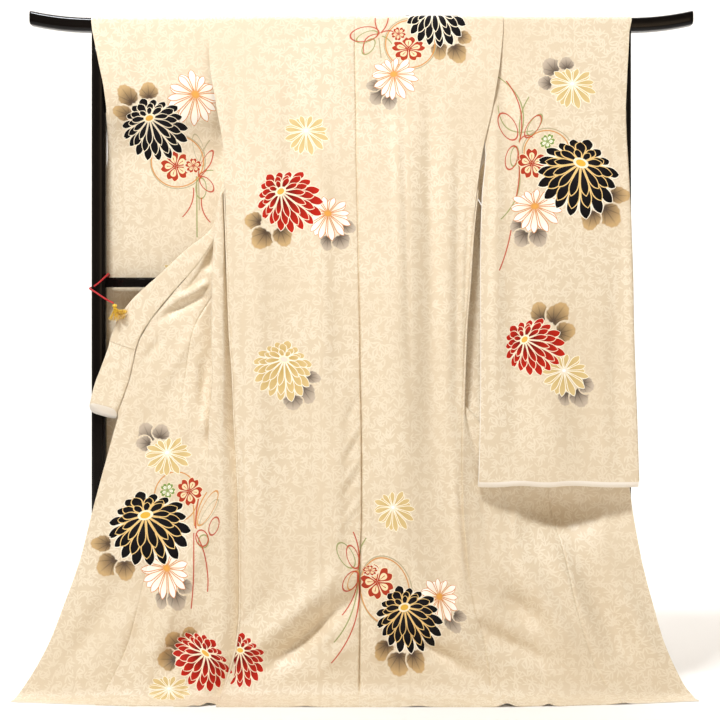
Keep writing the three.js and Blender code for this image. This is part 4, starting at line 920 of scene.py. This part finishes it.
def right_sections():
    """The right front's rows: eleven points across each, from the side seam behind the back panel to the
    fold and out to the okumi seam."""
    z, free_x, fold_x, inner_y, outer_y, okumi_x, okumi_y, edge_x, edge_y, opened = between(RIGHT, ROWS).T
    seamed = 1 - smooth(SEAM_TOP, 1150, z)
    turned = 1 - 2 * smooth(1200, 1290, z)
    free_x = mix(BODY[:, 4], free_x, smooth(1151, 1199, z))
    closed = 1 - 2 * opened
    back_y = BODY[:, 1] + troughs(FOLDS, free_x, z) * seamed
    side_y = mix(inner_y, back_y, seamed)
    step = mix(8, (fold_x - free_x) / 4, opened)
    hem = mix(-1, 1, seamed)
    across = [
        (free_x + GAP + 0.9 * smooth(1000, 1100, z), side_y),
        (free_x + 3.4 * hem, side_y + 0.4),
        (free_x + mix(4 * hem, step, opened), mix(side_y, inner_y, 0.45)),
        (free_x + mix(-5, 2 * step, opened), inner_y),
        (mix((free_x + fold_x) / 2, free_x + 3 * step, opened), inner_y),
        (fold_x + 7 * closed, inner_y + 1),
        (fold_x, (inner_y + outer_y) / 2),
        (fold_x + 7 * turned, outer_y - 1),
        (mix(fold_x, okumi_x, 0.36), mix(outer_y, okumi_y, 0.36)),
        (mix(fold_x, okumi_x, 0.68), mix(outer_y, okumi_y, 0.68)),
        (okumi_x - GAP / 2, okumi_y)]
    across = np.array([np.stack([np.broadcast_to(v, z.shape) for v in pair], -1) for pair in across])
    return across, opened, (okumi_x, okumi_y, edge_x, edge_y)


def front(name, node_name, sections, columns, lines):
    """A front's shell: its rows' points joined by smooth curves, with folds where it lies open."""
    across, opened, _ = sections
    # columns crowd toward both seams, and where the points do, at the ridge and the fold
    places = crowded(columns) * (len(across) - 1)
    points = between(across, places)
    x, y = points[..., 0], points[..., 1]
    z = np.repeat(BODY[None, :, 0], columns, 0)
    y = y + opened * (troughs(FOLDS, x, z) + 0.8 * unevenness(x, z))
    # the creases lie in the half of the cloth beside the okumi, below the sleeve's opening
    outer = smooth(0.45, 0.8, places / (len(across) - 1))[:, None]
    y = y + troughs(lines, x, z) * outer * smooth(1240, 1100, z)
    y = before_rail(y + seam_dip(x - x[-1]) * smooth(3, 30, z) * 0.4, z)
    points = np.stack([x, y, on_floor(x, z)], -1).transpose(1, 0, 2)
    # the weave keeps its size round the folds: the length of cloth from the okumi seam inwards
    step = np.hypot(np.diff(x, axis=0), np.diff(y, axis=0))
    length = np.concatenate([np.cumsum(step[::-1], axis=0)[::-1], np.zeros((1, len(ROWS)))])
    sign = np.sign(x[-1, -1])
    u = (x[-1] - sign * length) / 1000
    pattern = np.stack([u.T, np.repeat(DOWN[:, None], columns, 1)], -1)
    if sign < 0:
        points, pattern = points[:, ::-1], pattern[:, ::-1]
    silk = painted_silk("figured_silk_" + node_name, 1, (-640, -90) if sign < 0 else (240, -90),
                        (-330, 620) if sign < 0 else (600, 620))
    made = cloth(name, points, pattern, [silk, lining, silk])
    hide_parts(node_name)


LEFT_CREASES = [
    (-332, 1060, -328, 560, 26, 13), (-336, 950, -396, 884, 10, 9), (-330, 914, -450, 854, 11, -10),
    (-338, 1000, -354, 938, 18, 9), (-344, 884, -456, 828, 13, 9), (-352, 736, -353, 640, 14, 11),
    (-350, 612, -352, 570, 15, -9), (-410, 760, -430, 560, 30, 5), (-440, 790, -490, 730, 14, 5),
    (-390, 640, -410, 520, 22, -6), (-372, 800, -440, 690, 18, -6), (-470, 640, -486, 520, 22, 5)]
RIGHT_CREASES = [(300, 560, 330, 330, 26, 3), (380, 520, 400, 360, 20, -3), (470, 500, 500, 330, 30, -4)]
front("front_left_silk", "front_left", left_sections(), 125, LEFT_CREASES)
front("front_right_silk", "front_right", right_sections(), 105, RIGHT_CREASES)


# Okumi: a narrow panel sewn to each front, from its point on the collar seam down to the hem. Its outer
# edge follows the collar seam above, and is a folded edge below the collar's end.
COLLAR_LEFT = np.array([
    # from the middle of the neck: free edge x, y, z, seam edge x, y, z, thickness
    (-14, 33, 1422, -14, 27, 1477, 5), (-40, 33, 1421, -46, 27, 1475, 5), (-60, 37, 1404, -84, 29, 1452, 5),
    (-73, 42, 1372, -122, 36, 1400, 5), (-102, 58, 1326, -148, 32, 1350, 5),
    (-148, 66, 1288, -174, 22, 1300, 5), (-204, 62, 1254, -200, 9, 1250, 5),
    (-258, 30, 1216, -226, -4, 1200, 5), (-296, -11, 1172, -253, -12, 1150, 5),
    (-316, -13, 1110, -280, -14, 1100, 5), (-330, -14, 1040, -305, -16, 1044, 5),
    (-396, -15, 980, -365, -18, 950, 5), (-451, -17, 928, -413, -18, 896, 5),
    (-514, -20, 869, -468, -22, 828, 6), (-545, -23, 824, -494, -26, 784, 7),
    (-561, -25, 778, -502, -28, 758, 8), (-563, -26, 768, -504, -28, 748, 8),
    (-579, -28, 722, -515, -31, 696, 10), (-595, -30, 677, -529, -34, 653, 14),
    (-604, -32, 632, -543, -36, 616, 20)], float)
COLLAR_RIGHT = np.array([
    (-14, 33, 1422, -14, 27, 1477, 5), (12, 33, 1421, 18, 27, 1475, 5), (32, 37, 1404, 56, 29, 1452, 5),
    (45, 42, 1372, 94, 36, 1400, 5), (74, 58, 1326, 120, 32, 1350, 5), (120, 68, 1288, 146, 24, 1300, 5),
    (176, 66, 1254, 172, 13, 1250, 5), (232, 38, 1222, 198, 2, 1200, 5), (280, 0, 1178, 228, -8, 1150, 5),
    (310, -10, 1126, 259, -13, 1100, 5), (364, -12, 1028, 313, -16, 1000, 5),
    (418, -15, 928, 366, -18, 900, 5), (452, -17, 862, 402, -20, 834, 6), (500, -20, 778, 446, -24, 752, 8),
    (526, -22, 729, 474, -26, 700, 9), (548, -24, 688, 496, -29, 664, 12),
    (566, -26, 652, 515, -31, 626, 16)], float)
COLLAR_LEFT_OVER, COLLAR_RIGHT_OVER = 15, 12  # rows at which the over-collar ends
COLLAR_SLANT = 12
SEAM_EASE = 0.9

for name, node_name, sections, side, collar, lines in [
        ("okumi_left_silk", "okumi_left", left_sections(), -1, COLLAR_LEFT, LEFT_CREASES),
        ("okumi_right_silk", "okumi_right", right_sections(), 1, COLLAR_RIGHT, RIGHT_CREASES)]:
    _, opened, (okumi_x, okumi_y, edge_x, edge_y) = sections
    kept = ROWS >= OKUMI_ROW
    z = BODY[kept, 0]
    seam_z = collar[::-1, 5]
    on_collar = z >= seam_z[0]
    out_x = np.where(on_collar, np.interp(z, seam_z, collar[::-1, 3]) - side * SEAM_EASE, edge_x[kept])
    out_y = np.where(on_collar, np.interp(z, seam_z, collar[::-1, 4]), edge_y[kept])
    in_x = okumi_x[kept] + side * GAP / 2
    share = crowded(48)
    x = in_x[:, None] * (1 - share) + out_x[:, None] * share
    y = okumi_y[kept][:, None] * (1 - share) + out_y[:, None] * share
    zz = np.repeat(z[:, None], len(share), 1)
    y = y + opened[kept][:, None] * (troughs(FOLDS, x, zz) + 0.7 * unevenness(x, zz) * np.sin(np.pi * share))
    y = y + troughs(lines, x, zz) * (1 - smooth(0.7, 1, share)) * smooth(1240, 1100, zz)
    y = before_rail(y + 0.4 * seam_dip(x - in_x[:, None]) * smooth(3, 30, zz), zz)
    points = np.stack([x, y, on_floor(x, zz)], -1)
    pattern = np.stack([x / 1000, np.repeat(DOWN[kept][:, None], len(share), 1)], -1)
    if side < 0:
        points, pattern = points[:, ::-1], pattern[:, ::-1]
    silk = painted_silk("figured_silk_" + node_name, 1, (-760, -90) if side < 0 else (400, -90),
                        (-400, 620) if side < 0 else (760, 620))
    made = cloth(name, points, pattern, [silk, lining, piping])
    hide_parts(node_name)

# Sleeves: each one length of silk folded over the bar and sewn along the bottom and, below the cuff, down
# its outer side. It is open along the side that swings, beside the body.
SLEEVE_END, SLEEVE_FOLD, SLEEVE_TOP_OUT, CUFF_ROW = 459, 470, 603, 4
SLEEVE_LEFT = np.array([
    # z, front inner x, front outer x, front y, rear inner x, rear outer x, rear y
    (1470, -270, -600, -19.6, -270, -602, 19.6), (1430, -273, -592, -20.1, -273, -601, 20.4),
    (1400, -276, -586, -20.5, -276, -600, 21), (1340, -284, -574, -19.8, -284, -588, 23),
    (1290, -292, -569.5, -12, -292, -569.5, 26), (1240, -298, -569.5, 8, -298, -570, 30),
    (1190, -299, -570, 19, -299, -572, 33), (1100, -300, -579, 21, -300, -580, 34),
    (1000, -300, -580, 23.5, -300, -581, 36), (911, -300, -580, 24.5, -300, -581, 37),
    (800, -300, -580, 24, -300, -581, 36), (640, -298, -580, 22, -298, -581, 34),
    (470, -296, -580, 20, -296, -581, 32)], float)
SLEEVE_RIGHT = np.array([
    (1470, 268, 598, -19.6, 268, 600, 19.6), (1430, 268, 596, -20.6, 268, 569, 19.4),
    (1400, 268, 594, -21.5, 268, 566, 14), (1340, 268, 591, -23.6, 268, 566, -8),
    (1290, 269, 589, -25.6, 269, 569, -18.5), (1240, 272, 589, -28, 272, 586, -19.4),
    (1190, 276, 591, -30, 276, 590, -20.8), (1100, 268, 595, -35, 268, 594, -25),
    (1000, 264, 598, -40, 265, 597, -29), (911, 263, 600, -45, 264, 599, -33),
    (800, 263, 601, -51, 264, 600, -39.5), (640, 262, 605, -61, 263, 604, -49.5),
    (470, 257, 609, -72, 258, 608, -60)], float)


def sleeve(name, node_name, table, lines, bottom_wave):
    """A sleeve's shell: a loop of rows up the front, over the bar and down the rear, closed along the
    bottom, with its outer edges joined below the cuff by a narrow rounded strip."""
    places = np.concatenate([np.arange(0, 5, 1 / 10), np.arange(5, 12 + 1e-9, 1 / 12)])
    z, front_in, front_out, front_y, rear_in, rear_out, rear_y = between(table, places).T
    over = over_bar(SLEEVE_LIFT, 7)[::-1]
    sign = np.sign(table[0, 2])
    columns = 72
    share = crowded(columns)
    front_x = front_in[:, None] * (1 - share) + front_out[:, None] * share
    rear_x = rear_in[:, None] * (1 - share) + rear_out[:, None] * share
    zz = np.repeat(z[:, None], columns, 1)
    creased = troughs(lines, front_x, zz) + unevenness(front_x + 300, zz)
    y = front_y[:, None] + creased * smooth(CLOTH_TOP, 1400, zz)
    low = smooth(620, 470, zz)
    y = y + low * bottom_wave * np.sin(front_x / 21 + 0.8 * np.sin(front_x / 57)) * 0.8
    front_part = np.stack([front_x, y, zz], -1)[::-1]
    rear_part = np.stack([rear_x, np.repeat(rear_y[:, None], columns, 1), zz], -1)
    top = np.zeros((len(over), columns, 3))
    top[..., 0] = table[0, 1] * (1 - share) + sign * SLEEVE_TOP_OUT * share
    top[..., 1:] = over[:, None]
    turn = np.linspace(0, np.pi, 7)[1:-1]
    mid_y, half_y = (front_y[-1] + rear_y[-1]) / 2, (front_y[-1] - rear_y[-1]) / 2
    bottom = np.zeros((5, columns, 3))
    bottom[..., 0] = front_x[-1]
    bottom[..., 1] = (mid_y - half_y * np.cos(turn))[:, None]
    bottom[..., 2] = (SLEEVE_FOLD - (SLEEVE_FOLD - SLEEVE_END) * np.sin(turn))[:, None]
    points = np.concatenate([front_part, top, rear_part, bottom])
    # the bottom rises and falls a little where the lining pulls at it
    wave = np.sin(front_x[-1] / 24 + np.sin(front_x[-1] / 61))
    points[..., 2] += bottom_wave * wave * smooth(560, 466, points[..., 2])
    length = np.hypot(*np.diff(points[:, 0, 1:], axis=0).T)
    run = np.concatenate([[0], np.cumsum(length)])
    first_z = points[0, 0, 2]
    v = (first_z + run) / 1000
    pattern = np.stack([points[..., 0] / 1000, np.repeat(v[:, None], columns, 1)], -1)
    loop = np.concatenate([points, points[:1]])
    loop_pattern = np.concatenate([pattern, pattern[:1] * [1, 0] + [0, (first_z + run[-1]) / 1000]])

    def cuff_seam(made):
        """Joins the two outer edges below the cuff with a strip five faces wide, rounded outwards."""
        mesh = bmesh.new()
        mesh.from_mesh(made.data)
        closed = np.flatnonzero(places >= CUFF_ROW)
        front_edge = points[len(z) - 1 - closed, -1]
        rear_edge = points[len(z) + len(over) + closed, -1]
        turn = np.linspace(0, np.pi, 6)
        strip = np.zeros((len(closed), 6, 3))
        for k, angle in enumerate(turn):
            strip[:, k] = mix(front_edge, rear_edge, (1 - math.cos(angle)) / 2)
            strip[:, k, 0] += sign * 2.2 * math.sin(angle)
        strip = metres(strip)
        layer = mesh.loops.layers.uv.active
        rows = [[mesh.verts.new(p) for p in line] for line in strip]
        for i in range(len(rows) - 1):
            for k in range(5):
                face = mesh.faces.new([rows[i][k], rows[i][k + 1], rows[i + 1][k + 1], rows[i + 1][k]])
                face.smooth = True
                for corner in face.loops:
                    corner[layer].uv = (corner.vert.co.x - ORIGIN[0] / 1000, corner.vert.co.z)
        bmesh.ops.remove_doubles(mesh, verts=mesh.verts, dist=2e-5)
        bmesh.ops.recalc_face_normals(mesh, faces=mesh.faces)
        mesh.to_mesh(made.data)
        mesh.free()

    if sign < 0:
        loop, loop_pattern = loop[:, ::-1], loop_pattern[:, ::-1]
    silk = painted_silk("figured_silk_" + node_name, 0 if sign < 0 else 2, (-700, 450), (700, 1600))
    # the lining shows as a narrow roll along the bottom and down the swinging edge
    lined = np.zeros((len(loop) - 1, columns - 1), bool)
    lined[len(points) - 6 :] = True
    lined[: len(z), -1 if sign < 0 else 0] = True
    made = cloth(name, loop, loop_pattern, [silk, lining, piping], close=cuff_seam, lined=lined)
    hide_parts(node_name)


sleeve("sleeve_left_silk", "sleeve_left", SLEEVE_LEFT, [
    (-548, 1470, -546, 1060, 7, -2.5), (-296, 1460, -312, 1180, 34, 16), (-296, 1560, -300, 1260, 46, 11),
    (-420, 1300, -440, 1000, 50, 4), (-500, 1440, -490, 1180, 26, 4), (-380, 1180, -330, 1010, 30, 5)], 0.6)
sleeve("sleeve_right_silk", "sleeve_right", SLEEVE_RIGHT, [
    (266, 990, 600, 985, 5, 1.6), (300, 1300, 296, 700, 18, -5), (340, 900, 346, 500, 36, 7),
    (470, 860, 500, 480, 60, 8), (590, 1200, 600, 600, 16, -4), (420, 640, 430, 480, 40, -5),
    (300, 1420, 330, 1240, 24, 5), (560, 900, 566, 500, 26, 5)], 1.8)

# The collar is a folded band of silk with a stiff padding cloth inside. An over-collar of the same silk
# covers it round the neck and down both sides, and past its ends the collar itself shows, cut off square
# and finished with the lining at the very end.
def collar_rings(table, first, last, thicker, slant, steps=10):
    """Rings of the band between two rows: a flat lens across from the free edge to the seam edge."""
    places = np.linspace(first, last, int((last - first) * steps) + 1)
    row = between(table, places)
    free, seam, thick = row[:, 0:3], row[:, 3:6], row[:, 6]
    across = seam - free
    wide = np.linalg.norm(across, axis=1)
    across /= wide[:, None]
    middles = (table[:, 0:3] + table[:, 3:6]) / 2
    last_row = len(table) - 1
    spans = np.array([middles[min(k + 1, last_row)] - middles[max(k - 1, 0)] for k in range(last_row + 1)])
    along = between(spans, places)
    out = np.cross(across, along)
    out /= np.linalg.norm(out, axis=1)[:, None]
    if table is COLLAR_RIGHT:
        out = -out
    angle = np.linspace(0, 2 * np.pi, 32, endpoint=False)
    place = 0.5 - 0.5 * np.sign(np.cos(angle)) * np.abs(np.cos(angle)) ** 0.55
    side = np.sign(np.sin(angle)) * np.abs(np.sin(angle)) ** 0.6
    lift = ((thick + thicker) / 2)[:, None] * side
    reach = place * (wide[:, None] - GAP - 0.2)
    rings = free[:, None] + across[:, None] * reach[..., None] + out[:, None] * lift[..., None]
    if slant:
        rings[-1, :, 2] -= COLLAR_SLANT * side
        for k in range(2, steps + 1):
            rings[-k, :, 2] -= COLLAR_SLANT * side * (1 - (k - 1) / steps)
    return rings


def pattern_along(made, around, along):
    """The pattern's map on a solid made of rings: metres round it and along it, by vertex, with each end's
    middle taking the map of its first or last vertex."""
    uv = np.stack(np.broadcast_arrays(around, along), -1).reshape(-1, 2)
    uv = np.vstack([uv, uv[:1], uv[-1:]])
    layer = made.data.uv_layers.new(name="pattern")
    used = np.zeros(len(made.data.loops), np.int32)
    made.data.loops.foreach_get("vertex_index", used)
    layer.uv.foreach_set("vector", uv[np.minimum(used, len(uv) - 1)].ravel().astype(np.float32))


COLLAR_MAP = 20  # metres round at which the collar's map starts, in a part of the weave of its own


def collar_piece(name, node_name, rings):
    """A band's mesh with its ends capped, and its pattern along its length."""
    made = carried(name, rings, collar_silk, lining)
    centre = rings.mean(1)
    run = np.concatenate([[0], np.cumsum(np.linalg.norm(np.diff(centre, axis=0), axis=1))])
    girth = np.cumsum(np.linalg.norm(rings - np.roll(rings, 1, 1), axis=2), axis=1) / 1000
    pattern_along(made, girth + COLLAR_MAP, (run / 1000)[:, None])
    placed(made, node_name)


collar_silk = painted_silk("figured_silk_collar", 3, (0, 0), (1, 1))
over_left = collar_rings(COLLAR_LEFT, 0, COLLAR_LEFT_OVER, 1, False)
over_right = collar_rings(COLLAR_RIGHT, 0, COLLAR_RIGHT_OVER, 1, False)
collar_piece("over_collar_silk", "over_collar", np.concatenate([over_right[:0:-1], over_left]))
for side, table, over_row in [
        ("left", COLLAR_LEFT, COLLAR_LEFT_OVER), ("right", COLLAR_RIGHT, COLLAR_RIGHT_OVER)]:
    end = collar_rings(table, over_row, len(table) - 1, 0, True)
    end[0] = mix(end[0], end[1], 0.04)
    collar_piece("collar_" + side + "_silk", "collar_" + side, end)

# The tie is a red silk cord twisted from three strands. It goes from the tassel round the post above the
# rail and back, and holds the collar's end out to the side.
TIE = np.array([
    (-549, -40, 863), (-560, -34, 868), (-576, -25, 877), (-594, -21, 889), (-606, -14, 896), (-608, 4, 899),
    (-602, 17, 903), (-588, 19.5, 911), (-575, 19, 920), (-568, 14, 927), (-567.5, 0, 930), (-568, -14, 927),
    (-574, -20, 920), (-586, -20.5, 909), (-597, -20.5, 901)], float)
TIE_THICK, TIE_TWIST = 4.0, 9.0

red, tree, shader = new_material("red_silk_cord")
where = node(tree, "UVMap", uv_map="pattern")
# the strands' own threads run along them, drawn coarser than they are, about 1.4 to a millimetre
threads = node(tree, "Mapping", where, (0, 0, 0), (0, 0, 0.5), (1400, 260, 1))
grain = node(tree, "TexNoise", threads, None, 1.0, 2.0)
shade = node(tree, "MapRange", grain, 0.3, 0.7, 0.0, 1.0)
two_toned(tree, shader, shade, "#A0080E", "#D41517")
tree.links.new(node(tree, "MapRange", grain, 0.3, 0.7, 0.6, 0.42), shader.inputs["Roughness"])
shader.inputs["Sheen Weight"].default_value = 0.08
raised(tree, shader, grain, 0.5, 0.0003)


def along_curve(knots, steps):
    """Points and directions along a smooth curve through knots: on each stretch, the cubic whose slope at a
    knot is half the step between its neighbours."""
    slope = np.gradient(knots, axis=0)
    t = np.linspace(0, 1, steps, endpoint=False)[:, None]
    points = [cubic(knots[k], knots[k + 1], slope[k], slope[k + 1], t) for k in range(len(knots) - 1)]
    points = np.concatenate([*points, knots[-1:]])
    way = np.gradient(points, axis=0)
    return points, way / np.linalg.norm(way, axis=1, keepdims=True)


def wound(middle, way, radius, angle):
    """Rings of a tube: round each point of its line, at a radius for each angle."""
    aside = np.cross(way, [0.31, 0.9, 0.3])
    aside /= np.linalg.norm(aside, axis=-1, keepdims=True)
    third = np.cross(way, aside)
    return middle[..., None, :] + radius[..., None] * (
        np.cos(angle)[:, None] * aside[..., None, :] + np.sin(angle)[:, None] * third[..., None, :])


middle, way = along_curve(TIE, 26)
run = np.concatenate([[0], np.cumsum(np.linalg.norm(np.diff(middle, axis=0), axis=1))])
angle = np.linspace(0, 2 * np.pi, 18, endpoint=False)
strand = np.abs(np.cos(1.5 * (angle[None, :] - 2 * np.pi * run[:, None] / TIE_TWIST)))
ends = np.sqrt(np.clip(np.minimum(run, run[-1] - run) / 1.6, 0.02, 1))[:, None]
made = carried("tie_cord_silk", wound(middle, way, TIE_THICK / 2 * ends * (0.74 + 0.3 * strand), angle), red)
pattern_along(made, angle[None, :] * TIE_THICK / 2000, run[:, None] / 1000)
placed(made, "tie_cord")

# The tassel is yellow silk floss doubled over the cord and bound at the neck; its strands have splayed out
# to the lower right against the collar.
TASSEL, TASSEL_HEAD, TASSEL_LONG, STRANDS = np.array([-547.0, -40.0, 856.0]), 5.2, 34.0, 90
ALONG, BINDING_TOP = 9, -0.45  # points along a strand, and where the binding ends on the head

floss, tree, shader = new_material("yellow_silk_floss")
where = node(tree, "TexCoord", out=3)
streak = node(tree, "TexNoise", where, None, 900.0, 2.0)
shade = node(tree, "MapRange", streak, 0.35, 0.65, 0.0, 1.0)
two_toned(tree, shader, shade, "#C98A10", "#FFDD3C")
tree.links.new(node(tree, "MapRange", streak, 0.3, 0.7, 0.5, 0.36), shader.inputs["Roughness"])
shader.inputs["Sheen Weight"].default_value = 0.25

rng = np.random.default_rng(5)
turn = np.linspace(0, 1, STRANDS) + rng.uniform(-0.04, 0.04, STRANDS)
# each strand leaves the neck downwards and bends out to its own heading in the fan
heading = np.radians(-126 + 136 * turn)
long = TASSEL_LONG * (0.86 + 0.14 * rng.random(STRANDS)) * (1 - 0.12 * np.abs(turn - 0.5))
root = rng.uniform(0, 2 * np.pi, STRANDS)
t = np.linspace(0, 1, ALONG)
lean = -np.pi / 2 + (heading[:, None] + np.pi / 2) * np.clip(0.25 + 1.1 * t, 0, 1)
step = long[:, None] / (ALONG - 1)
line = np.zeros((STRANDS, ALONG, 3))
line[..., 0] = 2.6 * np.cos(root)[:, None] * (1 - 0.3 * t) + np.cumsum(np.cos(lean) * step * (t > 0), 1)
line[..., 2] = -0.2 * TASSEL_HEAD + np.cumsum(np.sin(lean) * step * (t > 0), 1)
line[..., 1] = 2.6 * np.sin(root)[:, None] + 16 * t * (rng.random(STRANDS)[:, None] - 0.3)
line += TASSEL
way = np.gradient(line, axis=1)
way /= np.linalg.norm(way, axis=-1, keepdims=True)
square = np.linspace(0, 2 * np.pi, 4, endpoint=False)
thin = np.broadcast_to(0.56 * (1 - 0.35 * t)[None, :, None], (STRANDS, ALONG, 4))
tubes = wound(line, way, thin, square)
head_turn = np.linspace(0, 2 * np.pi, 28, endpoint=False)
rise = np.linspace(-1.0, 1.0, 36)
profile = np.interp(rise, [-1, -0.72, -0.6, -0.48, -0.2, 0.3, 0.75, 0.93, 1],
                    [0.62, 0.66, 0.52, 0.66, 0.92, 1.0, 0.8, 0.45, 0.2])
# the binding goes round the neck and the floss lies in upright ridges over the head
ridges = 1 + 0.05 * np.cos(14 * head_turn)[None, :] * (rise > BINDING_TOP)[:, None]
ridges = ridges + 0.03 * np.cos(40 * rise)[:, None] * (rise <= BINDING_TOP)[:, None]
skin = np.zeros((36, 28, 3))
skin[..., 0] = TASSEL_HEAD * profile[:, None] * ridges * np.cos(head_turn)
skin[..., 1] = TASSEL_HEAD * profile[:, None] * ridges * np.sin(head_turn)
skin[..., 2] = (TASSEL_HEAD * rise)[:, None]
made = carried("tassel_floss", skin + TASSEL, floss)
first = len(made.data.vertices)
corners = np.arange(STRANDS * ALONG * 4).reshape(STRANDS, ALONG, 4)
after = np.roll(corners, -1, 2)
walls = np.stack([corners[:, :-1], after[:, :-1], after[:, 1:], corners[:, 1:]], -1).reshape(-1, 4)
tips = np.vstack([corners[:, -1], corners[:, 0, ::-1]])
old = np.array([v.co for v in made.data.vertices])
faces = [list(p.vertices) for p in made.data.polygons]
made.data.clear_geometry()
faces = [*faces, *(walls + first).tolist(), *(tips + first).tolist()]
made.data.from_pydata(np.vstack([old, metres(tubes.reshape(-1, 3))]), [], faces)
made.data.shade_smooth()
outward(made)
placed(made, "tassel")

size = {"cad": cad_box, "visual": [list(corner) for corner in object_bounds()]}
